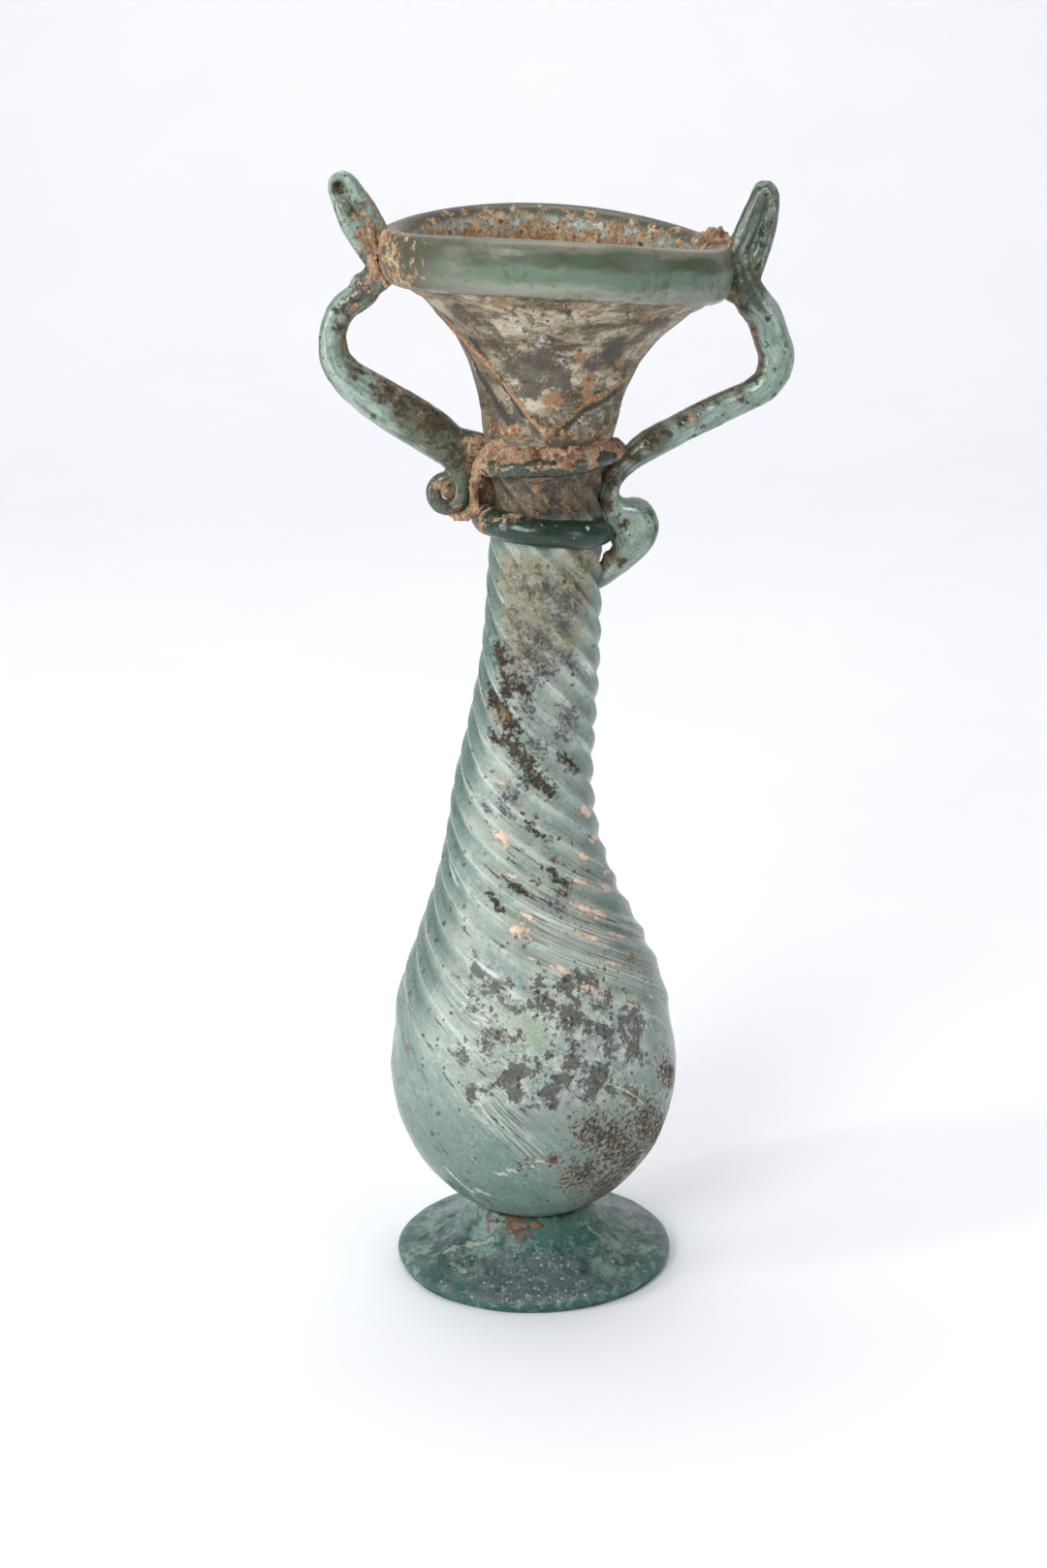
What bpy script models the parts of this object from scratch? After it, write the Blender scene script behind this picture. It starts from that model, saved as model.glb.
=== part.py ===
"""A small blown-glass amphoriskos: spiral-ribbed body, collar rim, pad foot, neck coils and two handles.

Units are metres and +Z is up. The origin is the centre of the foot's flat underside. +X points to the
right of the photograph and -Y points at the viewer.
"""

import math

import bmesh
import bpy

MM = 0.001

# Pad foot
FOOT_RADIUS = 22.1 * MM
FOOT_EDGE_HEIGHT = 2.4 * MM
FOOT_TOP_RADIUS = 9.4 * MM
FOOT_SIDES = 32

# Body, an ovoid standing on the foot
BODY_RADIUS = 22.65 * MM
BODY_CENTRE_HEIGHT = 33.5 * MM
BODY_LOWER_DEPTH = 25.3 * MM

# Neck
NECK_BASE_HEIGHT = 74.0 * MM
NECK_BASE_RADIUS = 11.5 * MM
NECK_TOP_HEIGHT = 124.0 * MM
NECK_RADIUS = 8.3 * MM

# Funnel mouth and its folded collar
FUNNEL_TOP_HEIGHT = 152.2 * MM
FUNNEL_TOP_RADIUS = 19.7 * MM
COLLAR_RADIUS = 25.7 * MM
COLLAR_HEIGHT = 7.0 * MM
COLLAR_THICKNESS = 4.0 * MM
COLLAR_LIFT = 2.5 * MM
COLLAR_DROOP_SIDE = 1.55 * MM
COLLAR_DROOP_FRONT = 1.0 * MM
COLLAR_SADDLE = 1.0 * MM

# Wall and ribs
WALL = 1.3 * MM
RIBS = 12
SIDES_PER_RIB = 4
RIB_DEPTH = 0.8 * MM
RIB_PITCH = 51.0 * MM
ROW_TWIST = math.radians(27.0)
ROW_HEIGHT = 4.6 * MM

# Coils wound round the neck
UPPER_COIL_HEIGHT = 128.7 * MM
UPPER_COIL_RADIUS = 1.5 * MM
UPPER_COIL_STAND = 0.6 * MM
UPPER_COIL_SHIFT = 0.0 * MM
UPPER_COIL_TILT = math.radians(4.0)
LOWER_RING_HEIGHT = 118.9 * MM
LOWER_RING_RADIUS = 2.3 * MM
LOWER_RING_STAND = 0.15 * MM
LOWER_RING_SHIFT = -0.6 * MM
LOWER_RING_TILT = math.radians(-7.5)
RING_SIDES = 24
RING_SECTION_SIDES = 8

# Handles
LEFT_ROD_RADIUS = 2.05 * MM
RIGHT_ROD_RADIUS = 2.15 * MM
STRAND_RADIUS = 1.5 * MM
CURL_RADIUS = 1.15 * MM
HANDLE_SEAT_DROP = 1.8 * MM
ROD_STEP = 2.1 * MM
STRAND_STEP = 1.6 * MM

# Clearance kept between pieces that touch
TOUCH_GAP = 0.3 * MM

# How far the vessel's axis leans to the right, as (share of the height of the funnel's top, offset)
LEAN = (
    (0.00, 0.0),
    (0.22, 0.3 * MM),
    (0.35, 0.0),
    (0.42, -0.8 * MM),
    (0.50, -1.0 * MM),
    (0.58, 0.5 * MM),
    (0.66, 2.0 * MM),
    (0.76, 2.8 * MM),
    (0.88, 3.5 * MM),
    (0.98, 4.6 * MM),
    (1.10, 4.6 * MM),
)

SIDES = RIBS * SIDES_PER_RIB


def clear_scene():
    """Empties the scene."""
    for obj in list(bpy.data.objects):
        bpy.data.objects.remove(obj, do_unlink=True)
    for collection in list(bpy.data.collections):
        bpy.data.collections.remove(collection)


def new_collection(name):
    """A collection linked to the scene."""
    collection = bpy.data.collections.new(name)
    bpy.context.scene.collection.children.link(collection)
    return collection


def new_material(name, colour, roughness, transmission):
    """A Principled material for one piece."""
    material = bpy.data.materials.new(name)
    material.use_nodes = True
    shader = material.node_tree.nodes["Principled BSDF"]
    shader.inputs["Base Color"].default_value = (*colour, 1.0)
    shader.inputs["Roughness"].default_value = roughness
    shader.inputs["Transmission Weight"].default_value = transmission
    shader.inputs["IOR"].default_value = 1.5
    return material


def smooth_through(knots, at):
    """The value at a place on a smooth curve through (place, value) knots that never overshoots them."""
    if at <= knots[0][0]:
        return knots[0][1]
    if at >= knots[-1][0]:
        return knots[-1][1]
    slopes = []
    for (a, p), (b, q) in zip(knots, knots[1:]):
        slopes.append((q - p) / (b - a))
    tangents = [slopes[0]]
    for before, after in zip(slopes, slopes[1:]):
        same_way = before * after > 0.0
        tangents.append(2.0 * before * after / (before + after) if same_way else 0.0)
    tangents.append(slopes[-1])
    for i, ((a, p), (b, q)) in enumerate(zip(knots, knots[1:])):
        if at <= b:
            break
    width = b - a
    t = (at - a) / width
    first = (1.0 + 2.0 * t) * (1.0 - t) ** 2
    last = t * t * (3.0 - 2.0 * t)
    rise = t * (1.0 - t) ** 2 * width * tangents[i]
    fall = t * t * (t - 1.0) * width * tangents[i + 1]
    return first * p + last * q + rise + fall


def blend(low, high, at):
    """0 below low and 1 above high, with a soft rise between them."""
    t = min(1.0, max(0.0, (at - low) / (high - low)))
    return t * t * (3.0 - 2.0 * t)


def shape_knots():
    """The (height, radius) knots of the outer wall from the widest part of the body to the funnel's top."""
    shoulder = NECK_BASE_HEIGHT - BODY_CENTRE_HEIGHT
    swell = BODY_RADIUS - NECK_BASE_RADIUS
    neck = NECK_TOP_HEIGHT - NECK_BASE_HEIGHT
    taper = NECK_BASE_RADIUS - NECK_RADIUS
    funnel = FUNNEL_TOP_HEIGHT - NECK_TOP_HEIGHT
    flare = FUNNEL_TOP_RADIUS - NECK_RADIUS
    return (
        (BODY_CENTRE_HEIGHT, BODY_RADIUS),
        (BODY_CENTRE_HEIGHT + 0.26 * shoulder, NECK_BASE_RADIUS + 0.88 * swell),
        (BODY_CENTRE_HEIGHT + 0.51 * shoulder, NECK_BASE_RADIUS + 0.57 * swell),
        (BODY_CENTRE_HEIGHT + 0.75 * shoulder, NECK_BASE_RADIUS + 0.21 * swell),
        (NECK_BASE_HEIGHT, NECK_BASE_RADIUS),
        (NECK_BASE_HEIGHT + 0.36 * neck, NECK_RADIUS + 0.42 * taper),
        (NECK_BASE_HEIGHT + 0.68 * neck, NECK_RADIUS + 0.15 * taper),
        (NECK_TOP_HEIGHT, NECK_RADIUS),
        (NECK_TOP_HEIGHT + 0.22 * funnel, NECK_RADIUS + 0.09 * flare),
        (NECK_TOP_HEIGHT + 0.50 * funnel, NECK_RADIUS + 0.24 * flare),
        (NECK_TOP_HEIGHT + 0.78 * funnel, NECK_RADIUS + 0.54 * flare),
        (FUNNEL_TOP_HEIGHT, FUNNEL_TOP_RADIUS),
    )


def crest_radius(height):
    """The outer wall's radius over the rib crests at a height."""
    if height < BODY_CENTRE_HEIGHT:
        share = (height - BODY_CENTRE_HEIGHT) / BODY_LOWER_DEPTH
        return BODY_RADIUS * math.sqrt(max(0.0, 1.0 - share * share))
    return smooth_through(shape_knots(), height)


def rib_depth(height):
    """How deep the grooves between the ribs are at a height: none under the body, less in the funnel."""
    grow = blend(BODY_CENTRE_HEIGHT - 0.4 * BODY_LOWER_DEPTH, 0.84 * NECK_BASE_HEIGHT, height)
    fade = 1.0 - 0.65 * blend(NECK_TOP_HEIGHT - 6.0 * MM, NECK_TOP_HEIGHT + 8.0 * MM, height)
    end = 1.0 - blend(NECK_TOP_HEIGHT + 8.0 * MM, FUNNEL_TOP_HEIGHT, height)
    return RIB_DEPTH * grow * fade * end


def rib_pitch(height):
    """The height in which a rib would go once round, longer where the bubble was stretched less."""
    slow = 1.0 - blend(BODY_CENTRE_HEIGHT - 0.9 * BODY_LOWER_DEPTH, 0.8 * NECK_BASE_HEIGHT, height)
    low = 1.0 + 3.0 * slow
    high = 1.0 + 2.0 * blend(NECK_TOP_HEIGHT, FUNNEL_TOP_HEIGHT, height)
    return RIB_PITCH * low * high


def rib_twist(height):
    """How far a rib has turned at a height, from none at the funnel's top."""
    steps = 120
    width = (FUNNEL_TOP_HEIGHT - height) / steps
    turned = 0.0
    for i in range(steps):
        turned += width / rib_pitch(height + (i + 0.5) * width)
    return 2.0 * math.pi * turned


def lean(height):
    """The sideways offset of the vessel's axis at a height."""
    return smooth_through(LEAN, height / FUNNEL_TOP_HEIGHT)


def rim_drop(angle, height):
    """How much the mouth's droop moves a point at an angle and a height up or down."""
    share = blend(0.4 * NECK_TOP_HEIGHT + 0.6 * FUNNEL_TOP_HEIGHT, FUNNEL_TOP_HEIGHT + COLLAR_LIFT, height)
    side = -COLLAR_DROOP_SIDE * math.cos(angle)
    front = COLLAR_DROOP_FRONT * math.sin(angle)
    return share * (side + front - COLLAR_SADDLE * math.cos(2.0 * angle))


def outer_heights():
    """The heights of the outer wall's rows, from the funnel's top down to the widest part of the body."""
    heights = [FUNNEL_TOP_HEIGHT]
    while True:
        here = heights[-1]
        step = min(ROW_HEIGHT, ROW_TWIST / (2.0 * math.pi) * rib_pitch(here))
        if here - 1.4 * step < BODY_CENTRE_HEIGHT:
            return heights + [BODY_CENTRE_HEIGHT]
        heights.append(here - step)


def outer_wall():
    """The outer wall as (radius, height) points, from the funnel's top down to the axis."""
    points = []
    for height in outer_heights():
        points.append((crest_radius(height), height))
    rows = 9
    for i in range(1, rows + 1):
        turn = 0.5 * math.pi * i / rows
        height = BODY_CENTRE_HEIGHT - BODY_LOWER_DEPTH * math.sin(turn)
        points.append((BODY_RADIUS * math.cos(turn), height))
    points[-1] = (0.0, BODY_CENTRE_HEIGHT - BODY_LOWER_DEPTH)
    return points


def inner_wall():
    """The cavity as (radius, height) points, from the axis at the bottom up to the funnel's top."""
    radius = BODY_RADIUS - WALL - rib_depth(BODY_CENTRE_HEIGHT)
    depth = BODY_LOWER_DEPTH - 1.6 * WALL
    points = [(0.0, BODY_CENTRE_HEIGHT - depth)]
    for i in range(1, 5):
        turn = 0.5 * math.pi * i / 4
        points.append((radius * math.sin(turn), BODY_CENTRE_HEIGHT - depth * math.cos(turn)))
    shoulder = NECK_BASE_HEIGHT - BODY_CENTRE_HEIGHT
    neck = NECK_TOP_HEIGHT - NECK_BASE_HEIGHT
    funnel = FUNNEL_TOP_HEIGHT - NECK_TOP_HEIGHT
    heights = [BODY_CENTRE_HEIGHT + share * shoulder for share in (0.27, 0.52, 0.75, 1.0)]
    heights += [NECK_BASE_HEIGHT + share * neck for share in (0.27, 0.52, 0.78, 1.0)]
    heights += [NECK_TOP_HEIGHT + share * funnel for share in (0.3, 0.55, 0.8)]
    for height in heights:
        points.append((crest_radius(height) - rib_depth(height) - WALL, height))
    return points


def collar_edge(grow):
    """The folded collar's section as (radius, height) points, from the inside of the mouth over the top."""
    low = FUNNEL_TOP_HEIGHT + COLLAR_LIFT
    top = low + COLLAR_HEIGHT
    middle = COLLAR_RADIUS - 0.5 * COLLAR_THICKNESS
    half = 0.5 * COLLAR_THICKNESS + grow
    points = [(middle - half, low + 0.45 * COLLAR_HEIGHT)]
    for degrees in (150.0, 90.0, 30.0):
        turn = math.radians(degrees)
        across = half * math.cos(turn)
        points.append((middle + across, top - 0.5 * COLLAR_THICKNESS + half * math.sin(turn)))
    points.append((COLLAR_RADIUS + grow, low + 0.5 * COLLAR_HEIGHT))
    points.append((COLLAR_RADIUS - 0.15 * COLLAR_THICKNESS + grow, low + 0.1 * COLLAR_HEIGHT - grow))
    points.append((COLLAR_RADIUS - 0.45 * COLLAR_THICKNESS + grow, low - 0.1 * COLLAR_HEIGHT - grow))
    return points


def turned(name, profile, sides, closed, collection):
    """A turned mesh object from (radius, height) points that run down the outer side."""
    mesh = bpy.data.meshes.new(name + "_profile")
    count = len(profile)
    edges = [(i, i + 1) for i in range(count - 1)]
    if closed:
        edges.append((count - 1, 0))
    mesh.from_pydata([(radius, 0.0, height) for radius, height in profile], edges, [])
    obj = bpy.data.objects.new(name + "_profile", mesh)
    collection.objects.link(obj)
    screw = obj.modifiers.new("turn", "SCREW")
    screw.steps = sides
    screw.render_steps = sides
    screw.use_merge_vertices = True
    screw.merge_threshold = 0.00002
    return made_mesh(name, obj, collection)


def made_mesh(name, source, collection):
    """A mesh object from what the source makes, with its seams welded and its faces turned outward."""
    bpy.context.view_layer.update()
    graph = bpy.context.evaluated_depsgraph_get()
    mesh = bpy.data.meshes.new_from_object(source.evaluated_get(graph))
    mesh.name = name
    build = bmesh.new()
    build.from_mesh(mesh)
    bmesh.ops.remove_doubles(build, verts=build.verts, dist=0.00001)
    bmesh.ops.recalc_face_normals(build, faces=build.faces)
    build.to_mesh(mesh)
    build.free()
    obj = bpy.data.objects.new(name, mesh)
    obj.matrix_world = source.matrix_world.copy()
    collection.objects.link(obj)
    bpy.data.objects.remove(source, do_unlink=True)
    return obj


def shade(obj, material):
    """Smooth shading with the hard edges kept, and the piece's material."""
    obj.data.shade_smooth()
    obj.data.set_sharp_from_angle(angle=math.radians(40.0))
    obj.data.materials.clear()
    obj.data.materials.append(material)


def as_helper(obj, cutters):
    """Keeps an object as a helper that doesn't show."""
    for collection in list(obj.users_collection):
        collection.objects.unlink(obj)
    cutters.objects.link(obj)
    obj.hide_render = True
    obj.display_type = "WIRE"
    return obj


def cut_away(obj, helper):
    """Cuts a helper's shape out of a piece."""
    modifier = obj.modifiers.new("cut_" + helper.name, "BOOLEAN")
    modifier.operation = "DIFFERENCE"
    modifier.solver = "EXACT"
    modifier.object = helper


def join_all(obj, helpers, cutters):
    """Joins helpers to a piece as one closed body."""
    group = bpy.data.collections.new(obj.name + "_strands")
    cutters.children.link(group)
    for helper in helpers:
        as_helper(helper, group)
    modifier = obj.modifiers.new("join_strands", "BOOLEAN")
    modifier.operation = "UNION"
    modifier.solver = "EXACT"
    modifier.use_self = True
    modifier.operand_type = "COLLECTION"
    modifier.collection = group


def settle_wall(obj, ribbed):
    """Gives a turned wall its spiral ribs, its lean and the droop of its mouth."""
    for vertex in obj.data.vertices:
        x, y, z = vertex.co
        radius = math.hypot(x, y)
        angle = math.atan2(y, x)
        in_wall = z <= FUNNEL_TOP_HEIGHT + 0.01 * MM and radius > 0.01 * MM
        if ribbed and in_wall and abs(radius - crest_radius(z)) < 0.02 * MM:
            phase = RIBS * angle
            radius -= rib_depth(z) * (0.5 - 0.5 * math.cos(phase))
            angle += rib_twist(z)
        z += rim_drop(angle, z)
        vertex.co = (radius * math.cos(angle) + lean(z), radius * math.sin(angle), z)
    obj.data.update()


def vessel(collection):
    """The blown vessel: body, neck, funnel and folded collar in one hollow piece."""
    collar = collar_edge(0.0)
    profile = collar[3:] + outer_wall() + inner_wall() + collar[:3]
    obj = turned("blown_vessel", profile, SIDES, True, collection)
    settle_wall(obj, True)
    return obj


def vessel_envelope(cutters):
    """The space that the vessel takes up, filled and grown by the touching gap."""
    outer = [(radius + TOUCH_GAP, height) for radius, height in outer_wall()[:-1]]
    collar = collar_edge(TOUCH_GAP)
    top = collar[2][1]
    bottom = BODY_CENTRE_HEIGHT - BODY_LOWER_DEPTH - TOUCH_GAP
    profile = [(0.0, top)] + collar[2:] + outer + [(0.0, bottom)]
    obj = turned("vessel_envelope", profile, SIDES, False, cutters)
    settle_wall(obj, False)
    return as_helper(obj, cutters)


def foot(collection):
    """The pad foot, with a seat that follows the underside of the body."""
    seat = []
    for i in range(5):
        radius = FOOT_TOP_RADIUS * i / 4
        share = radius / (BODY_RADIUS + TOUCH_GAP)
        depth = (BODY_LOWER_DEPTH + TOUCH_GAP) * math.sqrt(1.0 - share * share)
        seat.append((radius, BODY_CENTRE_HEIGHT - depth))
    top = seat[-1][1]
    slope = FOOT_RADIUS - FOOT_TOP_RADIUS
    rise = top - FOOT_EDGE_HEIGHT
    half = 0.5 * FOOT_EDGE_HEIGHT
    profile = seat + [
        (FOOT_TOP_RADIUS + 0.12 * slope, FOOT_EDGE_HEIGHT + 0.68 * rise),
        (FOOT_TOP_RADIUS + 0.45 * slope, FOOT_EDGE_HEIGHT + 0.27 * rise),
        (FOOT_RADIUS - 0.9 * half, FOOT_EDGE_HEIGHT + 0.12 * half),
        (FOOT_RADIUS, 0.78 * FOOT_EDGE_HEIGHT),
        (FOOT_RADIUS - 0.35 * half, 0.3 * FOOT_EDGE_HEIGHT),
        (FOOT_RADIUS - 1.1 * half, 0.0),
        (0.0, 0.0),
    ]
    return turned("pad_foot", profile, FOOT_SIDES, False, collection)


def neck_ring(name, height, rod_radius, stand, shift, tilt, grow, collection):
    """A rod wound once round the neck at a height, its middle standing off the wall, its section grown."""
    centre = crest_radius(height) + stand
    section = rod_radius + grow
    profile = []
    for i in range(RING_SECTION_SIDES):
        turn = -2.0 * math.pi * i / RING_SECTION_SIDES
        profile.append((centre + section * math.cos(turn), height + section * math.sin(turn)))
    obj = turned(name, profile, RING_SIDES, True, collection)
    for vertex in obj.data.vertices:
        x, y, z = vertex.co
        vertex.co = (x + lean(height) + shift, y, z + math.tan(tilt) * x)
    obj.data.update()
    return obj


def handle_place(side, out, up):
    """A point of a handle, from shares of the way from the neck at the lower ring to the collar."""
    low_x = lean(LOWER_RING_HEIGHT) + side * NECK_RADIUS
    high_x = lean(FUNNEL_TOP_HEIGHT) + side * COLLAR_RADIUS
    high_z = FUNNEL_TOP_HEIGHT + COLLAR_LIFT
    x = low_x + out * (high_x - low_x)
    low_z = LOWER_RING_HEIGHT - HANDLE_SEAT_DROP
    return (x, 0.0, low_z + up * (high_z - low_z))


def even_points(points, step):
    """Points about a step apart on a smooth curve through (x, y, z, radius) points."""
    ends = [points[0]] + list(points) + [points[-1]]
    result = [points[0]]
    for before, start, end, after in zip(ends, ends[1:], ends[2:], ends[3:]):
        length = math.dist(start[:3], end[:3])
        count = max(1, round(length / step))
        for i in range(1, count + 1):
            t = i / count
            value = []
            for a, b, c, d in zip(before, start, end, after):
                curve = 2.0 * b + (c - a) * t + (2.0 * a - 5.0 * b + 4.0 * c - d) * t * t
                value.append(0.5 * (curve + (3.0 * b - a - 3.0 * c + d) * t**3))
            result.append(tuple(value))
    return result


def rod(name, side, route, radius, step, depth, collection):
    """A glass rod along a route of (out, up, share of the radius) points, with its ends rounded off."""
    points = []
    for out, up, share in route:
        points.append((*handle_place(side, out, up), radius * share))
    points = even_points(points, step)
    curve = bpy.data.curves.new(name + "_route", "CURVE")
    curve.dimensions = "3D"
    curve.bevel_depth = radius
    curve.bevel_resolution = 2
    curve.use_fill_caps = True
    spline = curve.splines.new("POLY")
    spline.points.add(len(points) - 1)
    for place, (x, y, z, thick) in zip(spline.points, points):
        place.co = (x, y + depth, z, 1.0)
        place.radius = thick / radius
    obj = bpy.data.objects.new(name + "_route", curve)
    collection.objects.link(obj)
    return made_mesh(name, obj, collection)


def left_handle(collection, cutters):
    """The left handle: a rod with a leaning folded thumb-rest above and a small curl below."""
    main = (
        (0.97, 1.12, 0.75), (0.985, 1.05, 0.90), (1.13, 0.955, 1.02), (1.32, 0.895, 1.0),
        (1.42, 0.82, 0.98), (1.435, 0.76, 1.02), (1.41, 0.69, 1.14), (1.31, 0.632, 1.30),
        (1.21, 0.596, 1.46), (0.99, 0.530, 1.62), (0.74, 0.466, 1.70), (0.49, 0.396, 1.64),
        (0.34, 0.335, 1.38), (0.27, 0.27, 1.02), (0.25, 0.20, 0.80),
    )
    curl = (
        (0.25, 0.23, 1.25), (0.28, 0.140, 1.28), (0.39, 0.114, 1.14), (0.485, 0.126, 1.05),
        (0.532, 0.170, 1.0), (0.50, 0.208, 1.0), (0.42, 0.225, 1.0), (0.33, 0.235, 0.9),
    )
    outer_strand = (
        (0.985, 1.02, 1.12), (1.02, 1.075, 1.12), (1.145, 1.145, 1.08), (1.25, 1.22, 1.04),
        (1.322, 1.29, 0.90), (1.368, 1.34, 0.72), (1.355, 1.375, 0.66), (1.285, 1.384, 0.68),
        (1.225, 1.36, 0.78), (1.15, 1.30, 0.96),
    )
    inner_strand = (
        (1.245, 1.372, 0.55), (1.215, 1.345, 0.82), (1.15, 1.30, 1.04), (1.075, 1.24, 1.16),
        (1.0, 1.175, 1.22), (0.93, 1.10, 1.16),
    )
    pad = ((0.42, 0.365, 1.42), (0.20, 0.35, 1.25), (-0.05, 0.34, 1.0))
    bracket = ((1.14, 0.975, 1.0), (1.02, 0.99, 0.85), (0.88, 1.02, 0.6))
    obj = rod("left_handle", -1.0, main, LEFT_ROD_RADIUS, ROD_STEP, 0.0, collection)
    joined = (
        rod("left_outer_strand", -1.0, outer_strand, STRAND_RADIUS, STRAND_STEP, 0.0, cutters),
        rod("left_inner_strand", -1.0, inner_strand, STRAND_RADIUS, STRAND_STEP, 0.0, cutters),
        rod("left_curl", -1.0, curl, CURL_RADIUS, STRAND_STEP, -0.3 * CURL_RADIUS, cutters),
        rod("left_pad", -1.0, pad, LEFT_ROD_RADIUS, ROD_STEP, 0.0, cutters),
        rod("left_bracket", -1.0, bracket, LEFT_ROD_RADIUS, ROD_STEP, 0.0, cutters),
    )
    join_all(obj, joined, cutters)
    return obj


def right_handle(collection, cutters):
    """The right handle: a rod with a folded thumb-rest above and a thick folded tail below."""
    main = (
        (1.05, 1.06, 0.85), (1.06, 0.99, 1.08), (1.145, 0.905, 1.22), (1.235, 0.845, 1.24),
        (1.30, 0.755, 1.26), (1.335, 0.695, 1.26), (1.315, 0.635, 1.20), (1.268, 0.590, 1.10),
        (1.203, 0.563, 1.07), (1.12, 0.538, 1.05), (0.865, 0.480, 1.04), (0.573, 0.407, 1.06),
        (0.375, 0.355, 1.06), (0.232, 0.302, 0.90), (0.125, 0.243, 0.70), (0.072, 0.185, 0.60),
        (0.075, 0.143, 0.62), (0.115, 0.112, 0.68), (0.19, 0.097, 0.80),
    )
    tail = (
        (0.10, 0.118, 0.62), (0.17, 0.098, 0.82), (0.265, 0.083, 1.10), (0.304, 0.030, 1.24),
        (0.262, -0.025, 1.22), (0.18, -0.077, 1.06), (0.09, -0.127, 0.90), (0.0, -0.175, 0.66),
        (-0.06, -0.20, 0.5),
    )
    outer_strand = (
        (1.07, 0.955, 1.25), (1.12, 1.0, 1.25), (1.165, 1.06, 1.16), (1.21, 1.125, 1.08),
        (1.25, 1.205, 1.02), (1.275, 1.275, 0.90), (1.255, 1.322, 0.80), (1.20, 1.32, 0.80),
    )
    inner_strand = (
        (1.245, 1.31, 0.66), (1.205, 1.318, 0.82), (1.155, 1.258, 0.90), (1.105, 1.197, 0.92),
        (1.055, 1.136, 0.96), (0.99, 1.07, 1.12),
    )
    bracket = ((1.12, 0.93, 1.0), (1.0, 0.945, 0.85), (0.87, 0.97, 0.6))
    forward = -0.15 * STRAND_RADIUS
    obj = rod("right_handle", 1.0, main, RIGHT_ROD_RADIUS, ROD_STEP, 0.0, collection)
    joined = (
        rod("right_outer_strand", 1.0, outer_strand, STRAND_RADIUS, STRAND_STEP, 0.0, cutters),
        rod("right_inner_strand", 1.0, inner_strand, STRAND_RADIUS, STRAND_STEP, forward, cutters),
        rod("right_tail", 1.0, tail, RIGHT_ROD_RADIUS, ROD_STEP, 0.0, cutters),
        rod("right_bracket", 1.0, bracket, RIGHT_ROD_RADIUS, ROD_STEP, 0.0, cutters),
    )
    join_all(obj, joined, cutters)
    return obj


def main():
    """Builds every piece of the vessel."""
    clear_scene()
    parts = new_collection("glass_amphoriskos")
    cutters = new_collection("cutters")
    wall = new_material("weathered_pale_glass", (0.47, 0.56, 0.50), 0.42, 0.25)
    pad = new_material("dark_teal_glass", (0.16, 0.27, 0.24), 0.3, 0.35)
    emerald = new_material("emerald_coil_glass", (0.05, 0.16, 0.11), 0.18, 0.35)
    crusted = new_material("crusted_coil_glass", (0.35, 0.24, 0.15), 0.7, 0.0)
    left_glass = new_material("left_handle_glass", (0.36, 0.50, 0.43), 0.25, 0.4)
    right_glass = new_material("right_handle_glass", (0.34, 0.47, 0.41), 0.25, 0.4)

    body = vessel(parts)
    shade(body, wall)
    envelope = vessel_envelope(cutters)
    base = foot(parts)
    shade(base, pad)

    upper = (UPPER_COIL_HEIGHT, UPPER_COIL_RADIUS, UPPER_COIL_STAND, UPPER_COIL_SHIFT, UPPER_COIL_TILT)
    lower = (LOWER_RING_HEIGHT, LOWER_RING_RADIUS, LOWER_RING_STAND, LOWER_RING_SHIFT, LOWER_RING_TILT)
    rings = (("upper_neck_coil", upper, crusted), ("lower_neck_ring", lower, emerald))
    reliefs = []
    for name, sizes, material in rings:
        ring = neck_ring(name, *sizes, 0.0, parts)
        cut_away(ring, envelope)
        shade(ring, material)
        relief = neck_ring(name + "_relief", *sizes, TOUCH_GAP, cutters)
        reliefs.append(as_helper(relief, cutters))

    handles = (
        (left_handle(parts, cutters), left_glass),
        (right_handle(parts, cutters), right_glass),
    )
    for handle, material in handles:
        cut_away(handle, envelope)
        for relief in reliefs:
            cut_away(handle, relief)
        shade(handle, material)


main()
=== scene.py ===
"""The looks of a small weathered glass amphoriskos: its glass, its handles, its soil and the studio.

The frame's solids give every place. Sizes here are in millimetres, with +Z up and -Y towards the viewer.
"""

import logging
import math
from dataclasses import dataclass
from enum import Enum
from typing import Any, Callable, Iterable, Sequence

import bmesh
import bpy
import numpy as np
from mathutils import Matrix, Vector


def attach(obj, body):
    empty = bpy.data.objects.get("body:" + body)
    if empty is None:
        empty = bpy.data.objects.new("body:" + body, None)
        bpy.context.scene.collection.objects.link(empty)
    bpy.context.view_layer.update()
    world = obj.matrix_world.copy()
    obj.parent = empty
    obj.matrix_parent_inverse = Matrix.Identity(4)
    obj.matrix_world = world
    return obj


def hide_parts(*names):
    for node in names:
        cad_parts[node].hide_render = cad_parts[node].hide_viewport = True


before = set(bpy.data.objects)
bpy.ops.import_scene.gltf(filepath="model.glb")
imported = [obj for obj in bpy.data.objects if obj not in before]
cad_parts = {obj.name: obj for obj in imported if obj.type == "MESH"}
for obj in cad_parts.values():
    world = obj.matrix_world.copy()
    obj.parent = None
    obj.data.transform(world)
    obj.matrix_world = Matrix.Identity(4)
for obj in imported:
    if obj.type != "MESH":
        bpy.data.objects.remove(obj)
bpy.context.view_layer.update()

MM = 0.001
LOG = logging.getLogger("amphoriskos")

Array = np.ndarray
Colour = tuple[float, float, float]
Knot = tuple[float, float, float, float]
Knots = Sequence[Knot]
Socket = bpy.types.NodeSocket

TURN = 2.0 * math.pi
THREAD_HEIGHT = 128.7
THREAD_TILT = 4.0
RING_HEIGHT = 118.9
MIDDLE_GREY = (0.5, 0.5, 0.5)


class Side(Enum):
    """Which of the two handles a piece belongs to."""

    LEFT = -1.0
    RIGHT = 1.0


class Face(Enum):
    """Which surface of the vessel a row of its profile lies on."""

    COLLAR = "collar"
    OUTSIDE = "outside"
    INSIDE = "inside"


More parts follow.
